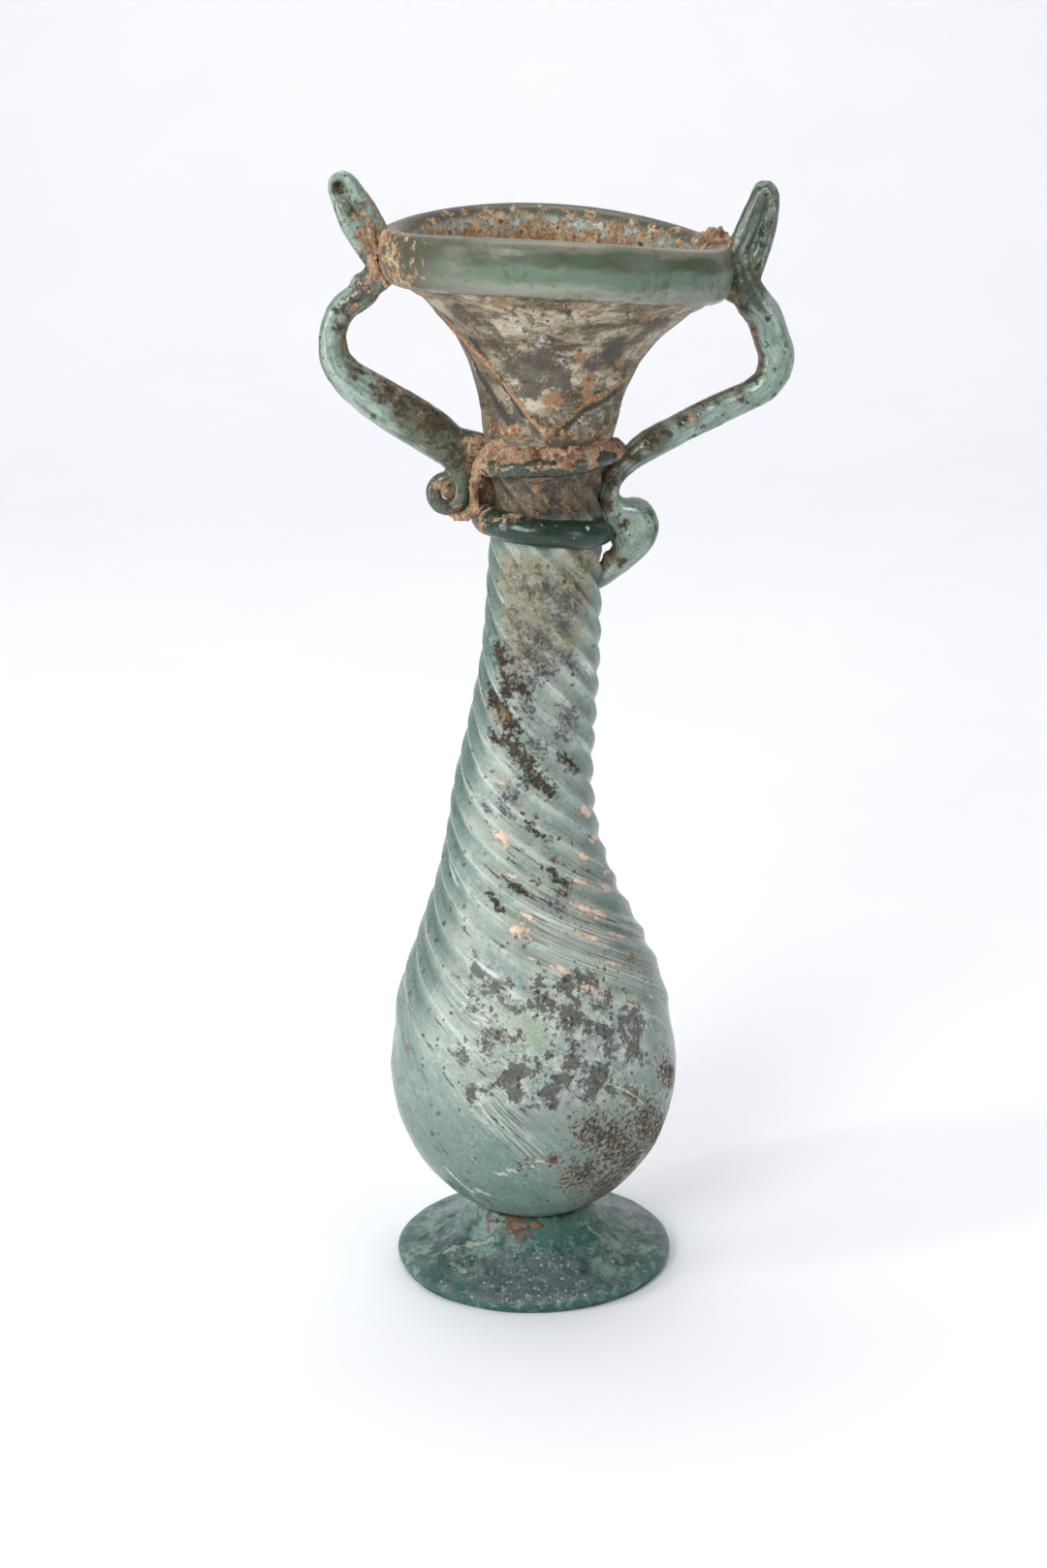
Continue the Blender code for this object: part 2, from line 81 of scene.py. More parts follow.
def srgb(*screen: int) -> Colour:
    """Turns a colour as a screen shows it into the linear one that a shader takes.

    Args:
        *screen: Red, green and blue from 0 to 255.

    Returns:
        The linear colour.
    """
    shares = [part / 255.0 for part in screen]
    red, green, blue = (s / 12.92 if s <= 0.04045 else ((s + 0.055) / 1.055) ** 2.4 for s in shares)
    return (red, green, blue)


def ease(low: float, high: float, at: Array) -> Array:
    """A soft step over an array.

    Args:
        low: Where the step starts.
        high: Where it ends.
        at: The values to look up.

    Returns:
        0 before low, 1 after high, and a soft rise between them.
    """
    share = np.clip((np.asarray(at, float) - low) / (high - low), 0.0, 1.0)
    return share * share * (3.0 - 2.0 * share)


def through(knots: Sequence[tuple[float, float]], at: Array) -> Array:
    """A smooth curve through knots that never overshoots them.

    Args:
        knots: The (place, value) pairs in rising order of place.
        at: The places to look up.

    Returns:
        The curve's values.
    """
    place = np.array([knot[0] for knot in knots])
    value = np.array([knot[1] for knot in knots])
    slope = np.diff(value) / np.diff(place)
    tangent = np.empty(len(place))
    tangent[0] = slope[0]
    tangent[-1] = slope[-1]
    product = slope[:-1] * slope[1:]
    total = slope[:-1] + slope[1:]
    tangent[1:-1] = np.where(product > 0.0, 2.0 * product / np.where(total == 0.0, 1.0, total), 0.0)
    at = np.clip(np.asarray(at, float), place[0], place[-1])
    i = np.clip(np.searchsorted(place, at, side="right") - 1, 0, len(place) - 2)
    width = place[i + 1] - place[i]
    t = (at - place[i]) / width
    start = (1.0 + 2.0 * t) * (1.0 - t) ** 2 * value[i]
    end = t * t * (3.0 - 2.0 * t) * value[i + 1]
    bend = t * (1.0 - t) ** 2 * width * tangent[i] + t * t * (t - 1.0) * width * tangent[i + 1]
    return start + end + bend


def single(curve: Callable[[Array], Array], place: float) -> float:
    """A curve's value at one place."""
    return float(curve(np.array([place]))[0])


def hill(at: Array, middle: float, width: float) -> Array:
    """A soft hill that is 1 at its middle and falls off over its width."""
    return np.exp(-(((at - middle) / width) ** 2))


def ring(radius: Any, angle: Array, height: Any) -> Array:
    """Points round the upright axis from radii, angles and heights, as an (n, 3) array."""
    return np.stack([radius * np.cos(angle), radius * np.sin(angle), height + np.zeros(len(angle))], axis=-1)


def wrapped(angle: Array) -> Array:
    """Angles brought to within half a turn of zero, in radians."""
    return (angle + math.pi) % TURN - math.pi


def unit(vectors: Array) -> Array:
    """Vectors, each brought to a length of 1."""
    return vectors / np.maximum(np.linalg.norm(vectors, axis=1), 1e-9)[:, None]


class Grain:
    """Smooth, repeatable noise over points in space."""

    def __init__(self, seed: int) -> None:
        """Draws the lattice.

        Args:
            seed: The seed, so that each piece has its own pattern.
        """
        draw = np.random.default_rng(seed)
        self.order = draw.permutation(256)
        self.level = draw.uniform(-1.0, 1.0, 256)

    def corner(self, x: Array, y: Array, z: Array) -> Array:
        """The lattice's value at whole-numbered corners."""
        first = self.order[x & 255]
        second = self.order[(first + y) & 255]
        return self.level[self.order[(second + z) & 255]]

    def once(self, points: Array) -> Array:
        """One octave of noise.

        Args:
            points: An (n, 3) array, one lattice cell a unit.

        Returns:
            Values between -1 and 1.
        """
        low = np.floor(points).astype(int)
        part = points - low
        part = part * part * part * (part * (part * 6.0 - 15.0) + 10.0)
        x, y, z = low.T
        u, v, w = part.T
        result = np.zeros(len(points))
        for i in (0, 1):
            for j in (0, 1):
                for k in (0, 1):
                    share = (u if i else 1.0 - u) * (v if j else 1.0 - v) * (w if k else 1.0 - w)
                    result += share * self.corner(x + i, y + j, z + k)
        return result

    def at(self, points: Array, size: float, octaves: int = 1, rough: float = 0.5) -> Array:
        """Noise of a given grain size.

        Args:
            points: An (n, 3) array in millimetres.
            size: The grain's size in millimetres.
            octaves: How many layers are summed.
            rough: How strong each finer layer is beside the last.

        Returns:
            Values of about -1 to 1.
        """
        total = np.zeros(len(points))
        weight = 1.0
        reach = 0.0
        for octave in range(octaves):
            shift = 17.3 * octave
            total += weight * self.once(points / size * 2.0**octave + shift)
            reach += weight
            weight *= rough
        return total / reach


@dataclass(frozen=True)
class Stroke:
    """A thin line drawn on the vessel's wall through (angle, height) points."""

    points: tuple[tuple[float, float], ...]
    width: float


@dataclass(frozen=True)
class Spot:
    """A soft ball in the handles' plane that marks the glass it reaches."""

    x: float
    z: float
    reach: float
    level: float = 1.0


@dataclass(frozen=True)
class Strand:
    """One drawn strand of a handle, with how dark, soiled and scurfy its glass is."""

    knots: Knots
    dark: float = 0.0
    soil: float = 0.0
    scurf: float = 0.25


@dataclass(frozen=True)
class WallForm:
    """The form of the vessel's wall, from the frame's own named sizes."""

    body_radius: float = 22.65
    body_centre: float = 33.5
    body_depth: float = 25.3
    neck_base: float = 74.0
    neck_base_radius: float = 11.5
    neck_top: float = 124.0
    neck_radius: float = 8.3
    funnel_top: float = 152.2
    funnel_radius: float = 19.7
    collar_radius: float = 25.7
    collar_height: float = 7.0
    collar_thickness: float = 4.0
    collar_lift: float = 2.5
    droop_side: float = 1.55
    droop_front: float = 1.0
    saddle: float = 1.0
    wall: float = 1.3
    ribs: int = 12
    groove_depth: float = 0.8
    pitch: float = 51.0

    def crest(self, height: Array) -> Array:
        """The outer radius over the rib crests at some heights."""
        height = np.asarray(height, float)
        shoulder = self.neck_base - self.body_centre
        swell = self.body_radius - self.neck_base_radius
        neck = self.neck_top - self.neck_base
        taper = self.neck_base_radius - self.neck_radius
        funnel = self.funnel_top - self.neck_top
        flare = self.funnel_radius - self.neck_radius
        knots = [(self.body_centre, self.body_radius)]
        for share, part in ((0.26, 0.88), (0.51, 0.57), (0.75, 0.21), (1.0, 0.0)):
            knots.append((self.body_centre + share * shoulder, self.neck_base_radius + part * swell))
        for share, part in ((0.36, 0.42), (0.68, 0.15), (1.0, 0.0)):
            knots.append((self.neck_base + share * neck, self.neck_radius + part * taper))
        for share, part in ((0.22, 0.09), (0.50, 0.24), (0.78, 0.54), (1.0, 1.0)):
            knots.append((self.neck_top + share * funnel, self.neck_radius + part * flare))
        share = np.clip((height - self.body_centre) / self.body_depth, -1.0, 0.0)
        bowl = self.body_radius * np.sqrt(1.0 - share * share)
        return np.where(height < self.body_centre, bowl, through(knots, height))

    def depth(self, height: Array) -> Array:
        """How deep the grooves are at some heights."""
        grow = ease(self.body_centre - 0.4 * self.body_depth, 0.84 * self.neck_base, height)
        fade = 1.0 - 0.65 * ease(self.neck_top - 6.0, self.neck_top + 8.0, height)
        end = 1.0 - ease(self.neck_top + 8.0, self.funnel_top, height)
        return self.groove_depth * grow * fade * end

    def rib_pitch(self, height: Array) -> Array:
        """The height of one full turn of a rib at some heights."""
        slow = 1.0 - ease(self.body_centre - 0.9 * self.body_depth, 0.8 * self.neck_base, height)
        return self.pitch * (1.0 + 3.0 * slow) * (1.0 + 2.0 * ease(self.neck_top, self.funnel_top, height))

    def twist(self, height: Array) -> Array:
        """How far a rib has turned at some heights, in radians, from none at the funnel's top."""
        steps = np.linspace(self.funnel_top, self.body_centre - self.body_depth, 1200)
        middle = 0.5 * (steps[1:] + steps[:-1])
        turned = np.concatenate([[0.0], np.cumsum(-np.diff(steps) / self.rib_pitch(middle))])
        return TURN * np.interp(-np.asarray(height, float), -steps, turned)

    def lean(self, height: Array) -> Array:
        """How far the vessel's axis stands to the right at some heights."""
        knots = (
            (0.0, 0.0), (0.22, 0.3), (0.35, 0.0), (0.42, -0.8), (0.50, -1.0), (0.58, 0.5), (0.66, 2.0),
            (0.76, 2.8), (0.88, 3.5), (0.98, 4.6), (1.10, 4.6),
        )
        return through(knots, np.asarray(height, float) / self.funnel_top)

    def droop(self, angle: Array, height: Array) -> Array:
        """How much the mouth's droop moves points up or down."""
        start = 0.4 * self.neck_top + 0.6 * self.funnel_top
        share = ease(start, self.funnel_top + self.collar_lift, height)
        side = -self.droop_side * np.cos(angle) + self.droop_front * np.sin(angle)
        return share * (side - self.saddle * np.cos(2.0 * angle))

    def place(self, radius: Array, angle: Array, height: Array) -> Array:
        """Points in space from a radius, an angle and a height on the straight vessel.

        Args:
            radius: Distances from the vessel's axis.
            angle: Angles in radians, 0 to the right and minus a quarter turn at the viewer.
            height: Heights before the mouth's droop.

        Returns:
            An (n, 3) array.
        """
        z = height + self.droop(angle, height)
        return np.stack([radius * np.cos(angle) + self.lean(z), radius * np.sin(angle), z], axis=-1)


class MeshTools:
    """Small tools that turn arrays into meshes."""

    @staticmethod
    def link(name: str, data: bpy.types.ID) -> bpy.types.Object:
        """Makes a linked object for a mesh, a lamp or a camera."""
        obj = bpy.data.objects.new(name, data)
        bpy.context.scene.collection.objects.link(obj)
        return obj

    @staticmethod
    def settle(name: str, build: bmesh.types.BMesh) -> bpy.types.Object:
        """Turns a mesh in the making into an object.

        Args:
            name: The object's name.
            build: The mesh in the making, which is freed.

        Returns:
            The object, linked to the scene.
        """
        mesh = bpy.data.meshes.new(name)
        build.to_mesh(mesh)
        build.free()
        return MeshTools.link(name, mesh)

    @staticmethod
    def build(
        name: str, points: Array, faces: Iterable[Sequence[int]], closed: bool = True
    ) -> bpy.types.Object:
        """Makes a smooth-shaded mesh object.

        Args:
            name: The object's name.
            points: An (n, 3) array in millimetres.
            faces: Corner numbers, face by face.
            closed: Whether the mesh is closed, so that its faces can be turned outward.

        Returns:
            The object, linked to the scene.
        """
        mesh = bpy.data.meshes.new(name)
        mesh.from_pydata([tuple(point) for point in points * MM], [], [tuple(face) for face in faces])
        mesh.validate()
        mesh.update()
        mesh.shade_smooth()
        if closed:
            build = bmesh.new()
            build.from_mesh(mesh)
            bmesh.ops.recalc_face_normals(build, faces=build.faces)
            build.to_mesh(mesh)
            build.free()
            mesh.update()
        return MeshTools.link(name, mesh)

    @staticmethod
    def wrap(rows: int, columns: int, closed: bool) -> list[tuple[int, ...]]:
        """The faces of a grid that goes round: rows of columns points each.

        Args:
            rows: How many rows of points there are.
            columns: How many points a row has.
            closed: Whether the last row joins the first.

        Returns:
            The quads' corner numbers.
        """
        faces: list[tuple[int, ...]] = []
        for i in range(rows if closed else rows - 1):
            here = i * columns
            below = ((i + 1) % rows) * columns
            for j in range(columns):
                after = (j + 1) % columns
                faces.append((here + j, here + after, below + after, below + j))
        return faces

    @staticmethod
    def points_of(obj: bpy.types.Object) -> Array:
        """A mesh's points in millimetres, as an (n, 3) array."""
        flat = np.empty(len(obj.data.vertices) * 3, np.float64)
        obj.data.vertices.foreach_get("co", flat)
        return flat.reshape(-1, 3) / MM

    @staticmethod
    def normals_of(obj: bpy.types.Object) -> Array:
        """A mesh's vertex normals as an (n, 3) array."""
        flat = np.empty(len(obj.data.vertices) * 3, np.float32)
        obj.data.vertices.foreach_get("normal", flat)
        return flat.reshape(-1, 3).astype(float)

    @staticmethod
    def set_points(obj: bpy.types.Object, points: Array) -> None:
        """Moves a mesh's points to new places in millimetres."""
        obj.data.vertices.foreach_set("co", (points * MM).astype(np.float32).ravel())
        obj.data.update()

    @staticmethod
    def mark(obj: bpy.types.Object, name: str, values: Array) -> None:
        """Stores a number or a vector on each point of a mesh for its material to read.

        Args:
            obj: The mesh object.
            name: The mark's name.
            values: One number or one vector a point.
        """
        values = np.asarray(values, np.float32)
        kind, key = ("FLOAT", "value") if values.ndim == 1 else ("FLOAT_VECTOR", "vector")
        obj.data.attributes.new(name, kind, "POINT").data.foreach_set(key, values.ravel())

    @staticmethod
    def fuse(name: str, parts: Sequence[bpy.types.Object], grain: float, smooth: int) -> bpy.types.Object:
        """Melts overlapping closed meshes into one smooth body.

        Args:
            name: The new object's name.
            parts: The meshes, which are removed.
            grain: The remesh's cell in millimetres.
            smooth: How many smoothing passes follow.

        Returns:
            The fused object.
        """
        build = bmesh.new()
        for part in parts:
            build.from_mesh(part.data)
        raw = MeshTools.settle(name + "_raw", build)
        remesh = raw.modifiers.new("melt", "REMESH")
        remesh.mode = "VOXEL"
        remesh.voxel_size = grain * MM
        relax = raw.modifiers.new("relax", "SMOOTH")
        relax.factor = 0.5
        relax.iterations = smooth
        bpy.context.view_layer.update()
        graph = bpy.context.evaluated_depsgraph_get()
        result = bpy.data.meshes.new_from_object(raw.evaluated_get(graph))
        result.name = name
        result.shade_smooth()
        obj = MeshTools.link(name, result)
        for old in (*parts, raw):
            data = old.data
            bpy.data.objects.remove(old, do_unlink=True)
            bpy.data.meshes.remove(data)
        return obj

    @staticmethod
    def rod(name: str, knots: Knots, step: float = 0.6) -> bpy.types.Object:
        """A round-ended rod along a smooth route.

        Args:
            name: The object's name.
            knots: The route's (x, y, z, radius) points.
            step: The spacing of its rings in millimetres.

        Returns:
            The rod's closed mesh object.
        """
        route = MeshTools.even(knots, step)
        sides = 20
        centre = route[:, :3]
        tangent = unit(np.gradient(centre, axis=0))
        across = np.cross(tangent[0], (0.0, 1.0, 0.0))
        if np.linalg.norm(across) < 0.1:
            across = np.cross(tangent[0], (1.0, 0.0, 0.0))
        turn = np.linspace(0.0, TURN, sides, endpoint=False)
        circle = np.stack([np.cos(turn), np.sin(turn)], axis=1)
        rounds = []
        for direction in tangent:
            across = across - direction * (across @ direction)
            across = across / np.linalg.norm(across)
            rounds.append(circle[:, :1] * across + circle[:, 1:] * np.cross(direction, across))
        caps = ((0.97, 0.25), (0.77, 0.64), (0.4, 0.92))
        order = [(0, back, wide) for back, wide in caps] + [(i, 0.0, 1.0) for i in range(len(route))]
        order += [(len(route) - 1, -back, wide) for back, wide in reversed(caps)]
        rings = []
        for i, back, wide in order:
            radius = route[i, 3]
            rings.append(centre[i] - tangent[i] * back * radius + rounds[i] * radius * wide)
        points = np.concatenate(rings)
        faces = MeshTools.wrap(len(rings), sides, False)
        faces += [tuple(range(sides)), tuple(len(points) - 1 - i for i in range(sides))]
        return MeshTools.build(name, points, faces)

    @staticmethod
    def even(knots: Sequence[Sequence[float]], step: float) -> Array:
        """Evenly spaced points on a smooth curve through knots.

        Args:
            knots: The knots, whose first three numbers are a place.
            step: The spacing in millimetres.

        Returns:
            An (n, k) array.
        """
        knot = np.array(knots, float)
        ends = np.concatenate([knot[:1], knot, knot[-1:]])
        rows = []
        for a, b, c, d in zip(ends, ends[1:], ends[2:], ends[3:]):
            for t in np.linspace(0.0, 1.0, 24, endpoint=False):
                curve = 2.0 * b + (c - a) * t + (2.0 * a - 5.0 * b + 4.0 * c - d) * t * t
                rows.append(0.5 * (curve + (3.0 * b - a - 3.0 * c + d) * t**3))
        rows.append(knot[-1])
        path = np.array(rows)
        gone = np.concatenate([[0.0], np.cumsum(np.linalg.norm(np.diff(path[:, :3], axis=0), axis=1))])
        at = np.linspace(0.0, gone[-1], max(3, int(round(gone[-1] / step)) + 1))
        return np.stack([np.interp(at, gone, path[:, k]) for k in range(path.shape[1])], axis=1)

    @staticmethod
    def rod_space(points: Array, routes: Sequence[Knots]) -> tuple[Array, Array]:
        """Coordinates that run along a bundle of rods.

        Args:
            points: The points.
            routes: The rods' knots.

        Returns:
            For each point, a place round and along its nearest rod, and that rod's number.
        """
        step, apart, batch, round_radius = 0.4, 60.0, 4000, 2.5
        path = [MeshTools.even(route, step) for route in routes]
        owner = np.concatenate([np.full(len(part), i) for i, part in enumerate(path)])
        along = np.concatenate([step * np.arange(len(part)) + apart * i for i, part in enumerate(path)])
        centre, width = np.split(np.concatenate(path), [3], axis=1)
        ahead = unit(np.concatenate([np.gradient(part[:, :3], axis=0) for part in path]))
        nearest = np.zeros(len(points), int)
        for start in range(0, len(points), batch):
            part = points[start:start + batch]
            away = np.linalg.norm(part[:, None, :] - centre[None, :, :], axis=2) - width[:, 0]
            nearest[start:start + batch] = np.argmin(away, axis=1)
        off = points - centre[nearest]
        off -= ahead[nearest] * np.sum(off * ahead[nearest], axis=1)[:, None]
        side = unit(np.cross(ahead[nearest], (0.0, 1.0, 0.0)))
        turn = np.arctan2(off[:, 1], np.sum(off * side, axis=1))
        return ring(round_radius, turn, along[nearest]), owner[nearest]


class Palette:
    """A builder for one Principled material, with every place in millimetres."""

    def __init__(self, name: str) -> None:
        """Starts an empty Principled material.

        Args:
            name: The material's name.
        """
        self.material = bpy.data.materials.new(name)
        self.material.use_nodes = True
        self.tree = self.material.node_tree
        self.shader = self.tree.nodes["Principled BSDF"]
        self.place = self.vector("SCALE", self.node("ShaderNodeTexCoord", {}, "Object"), 1.0 / MM)

    def node(self, kind: str, feeds: dict[int | str, Any], out: int | str = 0, **settings: Any) -> Socket:
        """Adds a node.

        Args:
            kind: The node's type.
            feeds: What goes into its inputs, by their names or numbers.
            out: The wanted output's name or number.
            **settings: Its properties.

        Returns:
            The output.
        """
        made = self.tree.nodes.new(kind)
        for key, value in settings.items():
            setattr(made, key, value)
        for key, value in feeds.items():
            self.feed(made.inputs[key], value)
        return made.outputs[out]

    def feed(self, socket: Socket, value: Any) -> None:
        """Links a socket to a node's output, or sets its plain value.

        Args:
            socket: The input.
            value: An output socket, a number or a colour.
        """
        if isinstance(value, bpy.types.NodeSocket):
            self.tree.links.new(value, socket)
        else:
            socket.default_value = (*value, 1.0) if socket.type == "RGBA" else value

    def mark(self, name: str, out: str = "Fac") -> Socket:
        """What a mesh stores under a name: a number, or a vector where out says Vector."""
        return self.node("ShaderNodeAttribute", {}, out, attribute_name=name)

    def sum(self, kind: str, first: Any, second: Any) -> Socket:
        """Two numbers made into one in the way that kind names."""
        return self.node("ShaderNodeMath", {0: first, 1: second}, operation=kind)

    def plus(self, first: Any, second: Any) -> Socket:
        """Two numbers added."""
        return self.sum("ADD", first, second)

    def less(self, first: Any, second: Any) -> Socket:
        """The first number less the second."""
        return self.sum("SUBTRACT", first, second)

    def times(self, first: Any, second: Any) -> Socket:
        """Two numbers multiplied."""
        return self.sum("MULTIPLY", first, second)

    def most(self, first: Any, second: Any) -> Socket:
        """The greater of two numbers."""
        return self.sum("MAXIMUM", first, second)

    def vector(self, kind: str, first: Any, second: Any) -> Socket:
        """Two vectors made into one, or a vector and a number where kind is SCALE."""
        other: int | str = "Scale" if kind == "SCALE" else 1
        return self.node("ShaderNodeVectorMath", {0: first, other: second}, operation=kind)

    def stretch(self, where: Any, x: float, y: float, z: float) -> Socket:
        """Coordinates stretched along their axes."""
        return self.vector("MULTIPLY", where, (x, y, z))

    def step(self, value: Any, low: float, high: float) -> Socket:
        """A soft step from 0 where a number is low to 1 where it is high."""
        feeds = {"Value": value, "From Min": low, "From Max": high}
        return self.node("ShaderNodeMapRange", feeds, "Result", interpolation_type="SMOOTHSTEP")

    def noise(
        self, size: float, detail: float = 2.0, rough: float = 0.5, warp: float = 0.0, where: Any = None
    ) -> Socket:
        """Cloudy noise.

        Args:
            size: Its grain in millimetres.
            detail: How many finer layers it has.
            rough: How strong they are.
            warp: How far it is distorted.
            where: The coordinates, or none for the object's own.

        Returns:
            A number of about 0.3 to 0.7.
        """
        feeds = {"Vector": self.place if where is None else where, "Scale": 1.0 / size}
        feeds |= {"Detail": detail, "Roughness": rough, "Distortion": warp}
        return self.node("ShaderNodeTexNoise", feeds, "Fac")

    def shaken(self, where: Any, size: float, amount: float) -> Socket:
        """Coordinates shaken by noise of a size and an amount, so that what they carry isn't round."""
        cloud = self.node(
            "ShaderNodeTexNoise", {"Vector": where, "Scale": 1.0 / size, "Detail": 3.0}, "Color"
        )
        return self.vector(
            "ADD", where, self.vector("SCALE", self.vector("SUBTRACT", cloud, MIDDLE_GREY), amount)
        )

    def flecks(self, size: float, share: float, reach: float, where: Any = None) -> Socket:
        """Scattered uneven flecks, a few large and many small.

        Args:
            size: Their spacing in millimetres.
            share: The share of places that have one.
            reach: The largest one's radius, as a share of the spacing.
            where: The coordinates, or none for the object's own.

        Returns:
            1 in a fleck and 0 outside.
        """
        place = self.shaken(self.place if where is None else where, 0.5 * size, 0.9 * size)
        tint = self.node(
            "ShaderNodeTexVoronoi", {"Vector": place, "Scale": 1.0 / size}, "Color", feature="F1"
        )
        chance = self.less(self.node("ShaderNodeSeparateColor", {0: tint}), 1.0 - share)
        return self.step(
            self.less(self.times(chance, reach / share), tint.node.outputs["Distance"]), 0.0, 0.06
        )

    def mix(self, share: Any, first: Any, second: Any) -> Socket:
        """Two colours mixed, with the given share of the second."""
        return self.node(
            "ShaderNodeMix", {0: share, 6: first, 7: second}, 2, data_type="RGBA", clamp_factor=True
        )

    def blend(self, share: Any, first: Any, second: Any) -> Socket:
        """Two numbers mixed, with the given share of the second."""
        return self.node(
            "ShaderNodeMix", {0: share, 2: first, 3: second}, data_type="FLOAT", clamp_factor=True
        )

    def over(self, colour: Any, share: Any, strength: float, tint: Any) -> Socket:
        """A colour with a tint laid over a share of it, at a strength."""
        return self.mix(self.times(share, strength), colour, tint)

    def ragged(self, mask: Any, noise: Any, swing: float, edge: float, soft: float) -> Socket:
        """A soft mask whose edge is broken up by noise.

        Args:
            mask: The mask, or the name of the mark that gives it.
            noise: The noise that breaks it.
            swing: How much the noise counts.
            edge: The level at which the patch ends.
            soft: Half the width of its edge.

        Returns:
            The ragged mask's socket.
        """
        mask = self.mark(mask) if isinstance(mask, str) else mask
        swung = self.plus(mask, self.times(self.less(noise, 0.5), swing))
        return self.times(self.step(swung, edge - soft, edge + soft), self.step(mask, 0.02, 0.2))

    def coat(
        self, colour: Any, name: str, cloud: Sequence[float], tear: Sequence[float], strength: float,
        tint: Any
    ) -> Socket:
        """A colour with a tint laid where a mark is, torn by noise: tear is ragged's last three."""
        return self.over(colour, self.ragged(name, self.noise(*cloud), *tear), strength, tint)

    def bump(self, height: Any, depth: float, strength: float = 1.0) -> None:
        """Gives the surface relief from a height of 0 to 1 that stands for a depth in millimetres."""
        feeds = {"Strength": strength, "Distance": depth * MM, "Height": height}
        self.feed(self.shader.inputs["Normal"], self.node("ShaderNodeBump", feeds, "Normal"))

    def finish(
        self, colour: Any, roughness: Any, transmission: Any = 0.0, ior: float = 1.5, shine: float = 0.5
    ) -> bpy.types.Material:
        """Connects the shader.

        Args:
            colour: The base colour or its socket.
            roughness: The roughness or its socket.
            transmission: How much light passes, or its socket.
            ior: The glass's index of refraction.
            shine: How strong its gloss is.

        Returns:
            The material.
        """
        feeds = {"Base Color": colour, "Roughness": roughness, "Transmission Weight": transmission}
        feeds |= {"IOR": ior, "Specular IOR Level": shine}
        for key, value in feeds.items():
            self.feed(self.shader.inputs[key], value)
        return self.material


@dataclass(frozen=True)
class SoilFinish:
    """Dry, sandy soil in crumbs."""

    name: str = "sandy_soil"
    pale: Colour = srgb(194, 164, 134)
    warm: Colour = srgb(152, 114, 84)
    deep: Colour = srgb(70, 52, 40)
    dust: Colour = srgb(208, 190, 170)
    darkness: float = 0.5

    def make(self) -> bpy.types.Material:
        """Builds the material."""
        paint = Palette(self.name)
        fine = paint.noise(0.4, 5.0, 0.75)
        colour = paint.mix(paint.step(paint.noise(2.6, 5.0, 0.65), 0.38, 0.62), self.warm, self.pale)
        colour = paint.over(colour, paint.step(fine, 0.5, 0.36), 0.7, self.deep)
        colour = paint.over(colour, paint.step(paint.noise(0.8, 4.0, 0.7), 0.54, 0.64), 0.55, self.dust)
        dark = paint.step(paint.noise(1.7, 7.0, 0.72), 0.52, 0.62)
        colour = paint.over(colour, dark, self.darkness, self.deep)
        # Above 0.75, darkness darkens the whole crust: painted shade for crusts that lie in hollows, folds
        # and crevices.
        colour = paint.over(colour, 1.0, max(0.0, 2.4 * (self.darkness - 0.75)), self.deep)
        relief = paint.plus(paint.noise(0.7, 6.0, 0.75), paint.times(fine, 0.5))
        paint.bump(relief, 0.55)
        return paint.finish(colour, 0.92, shine=0.25)


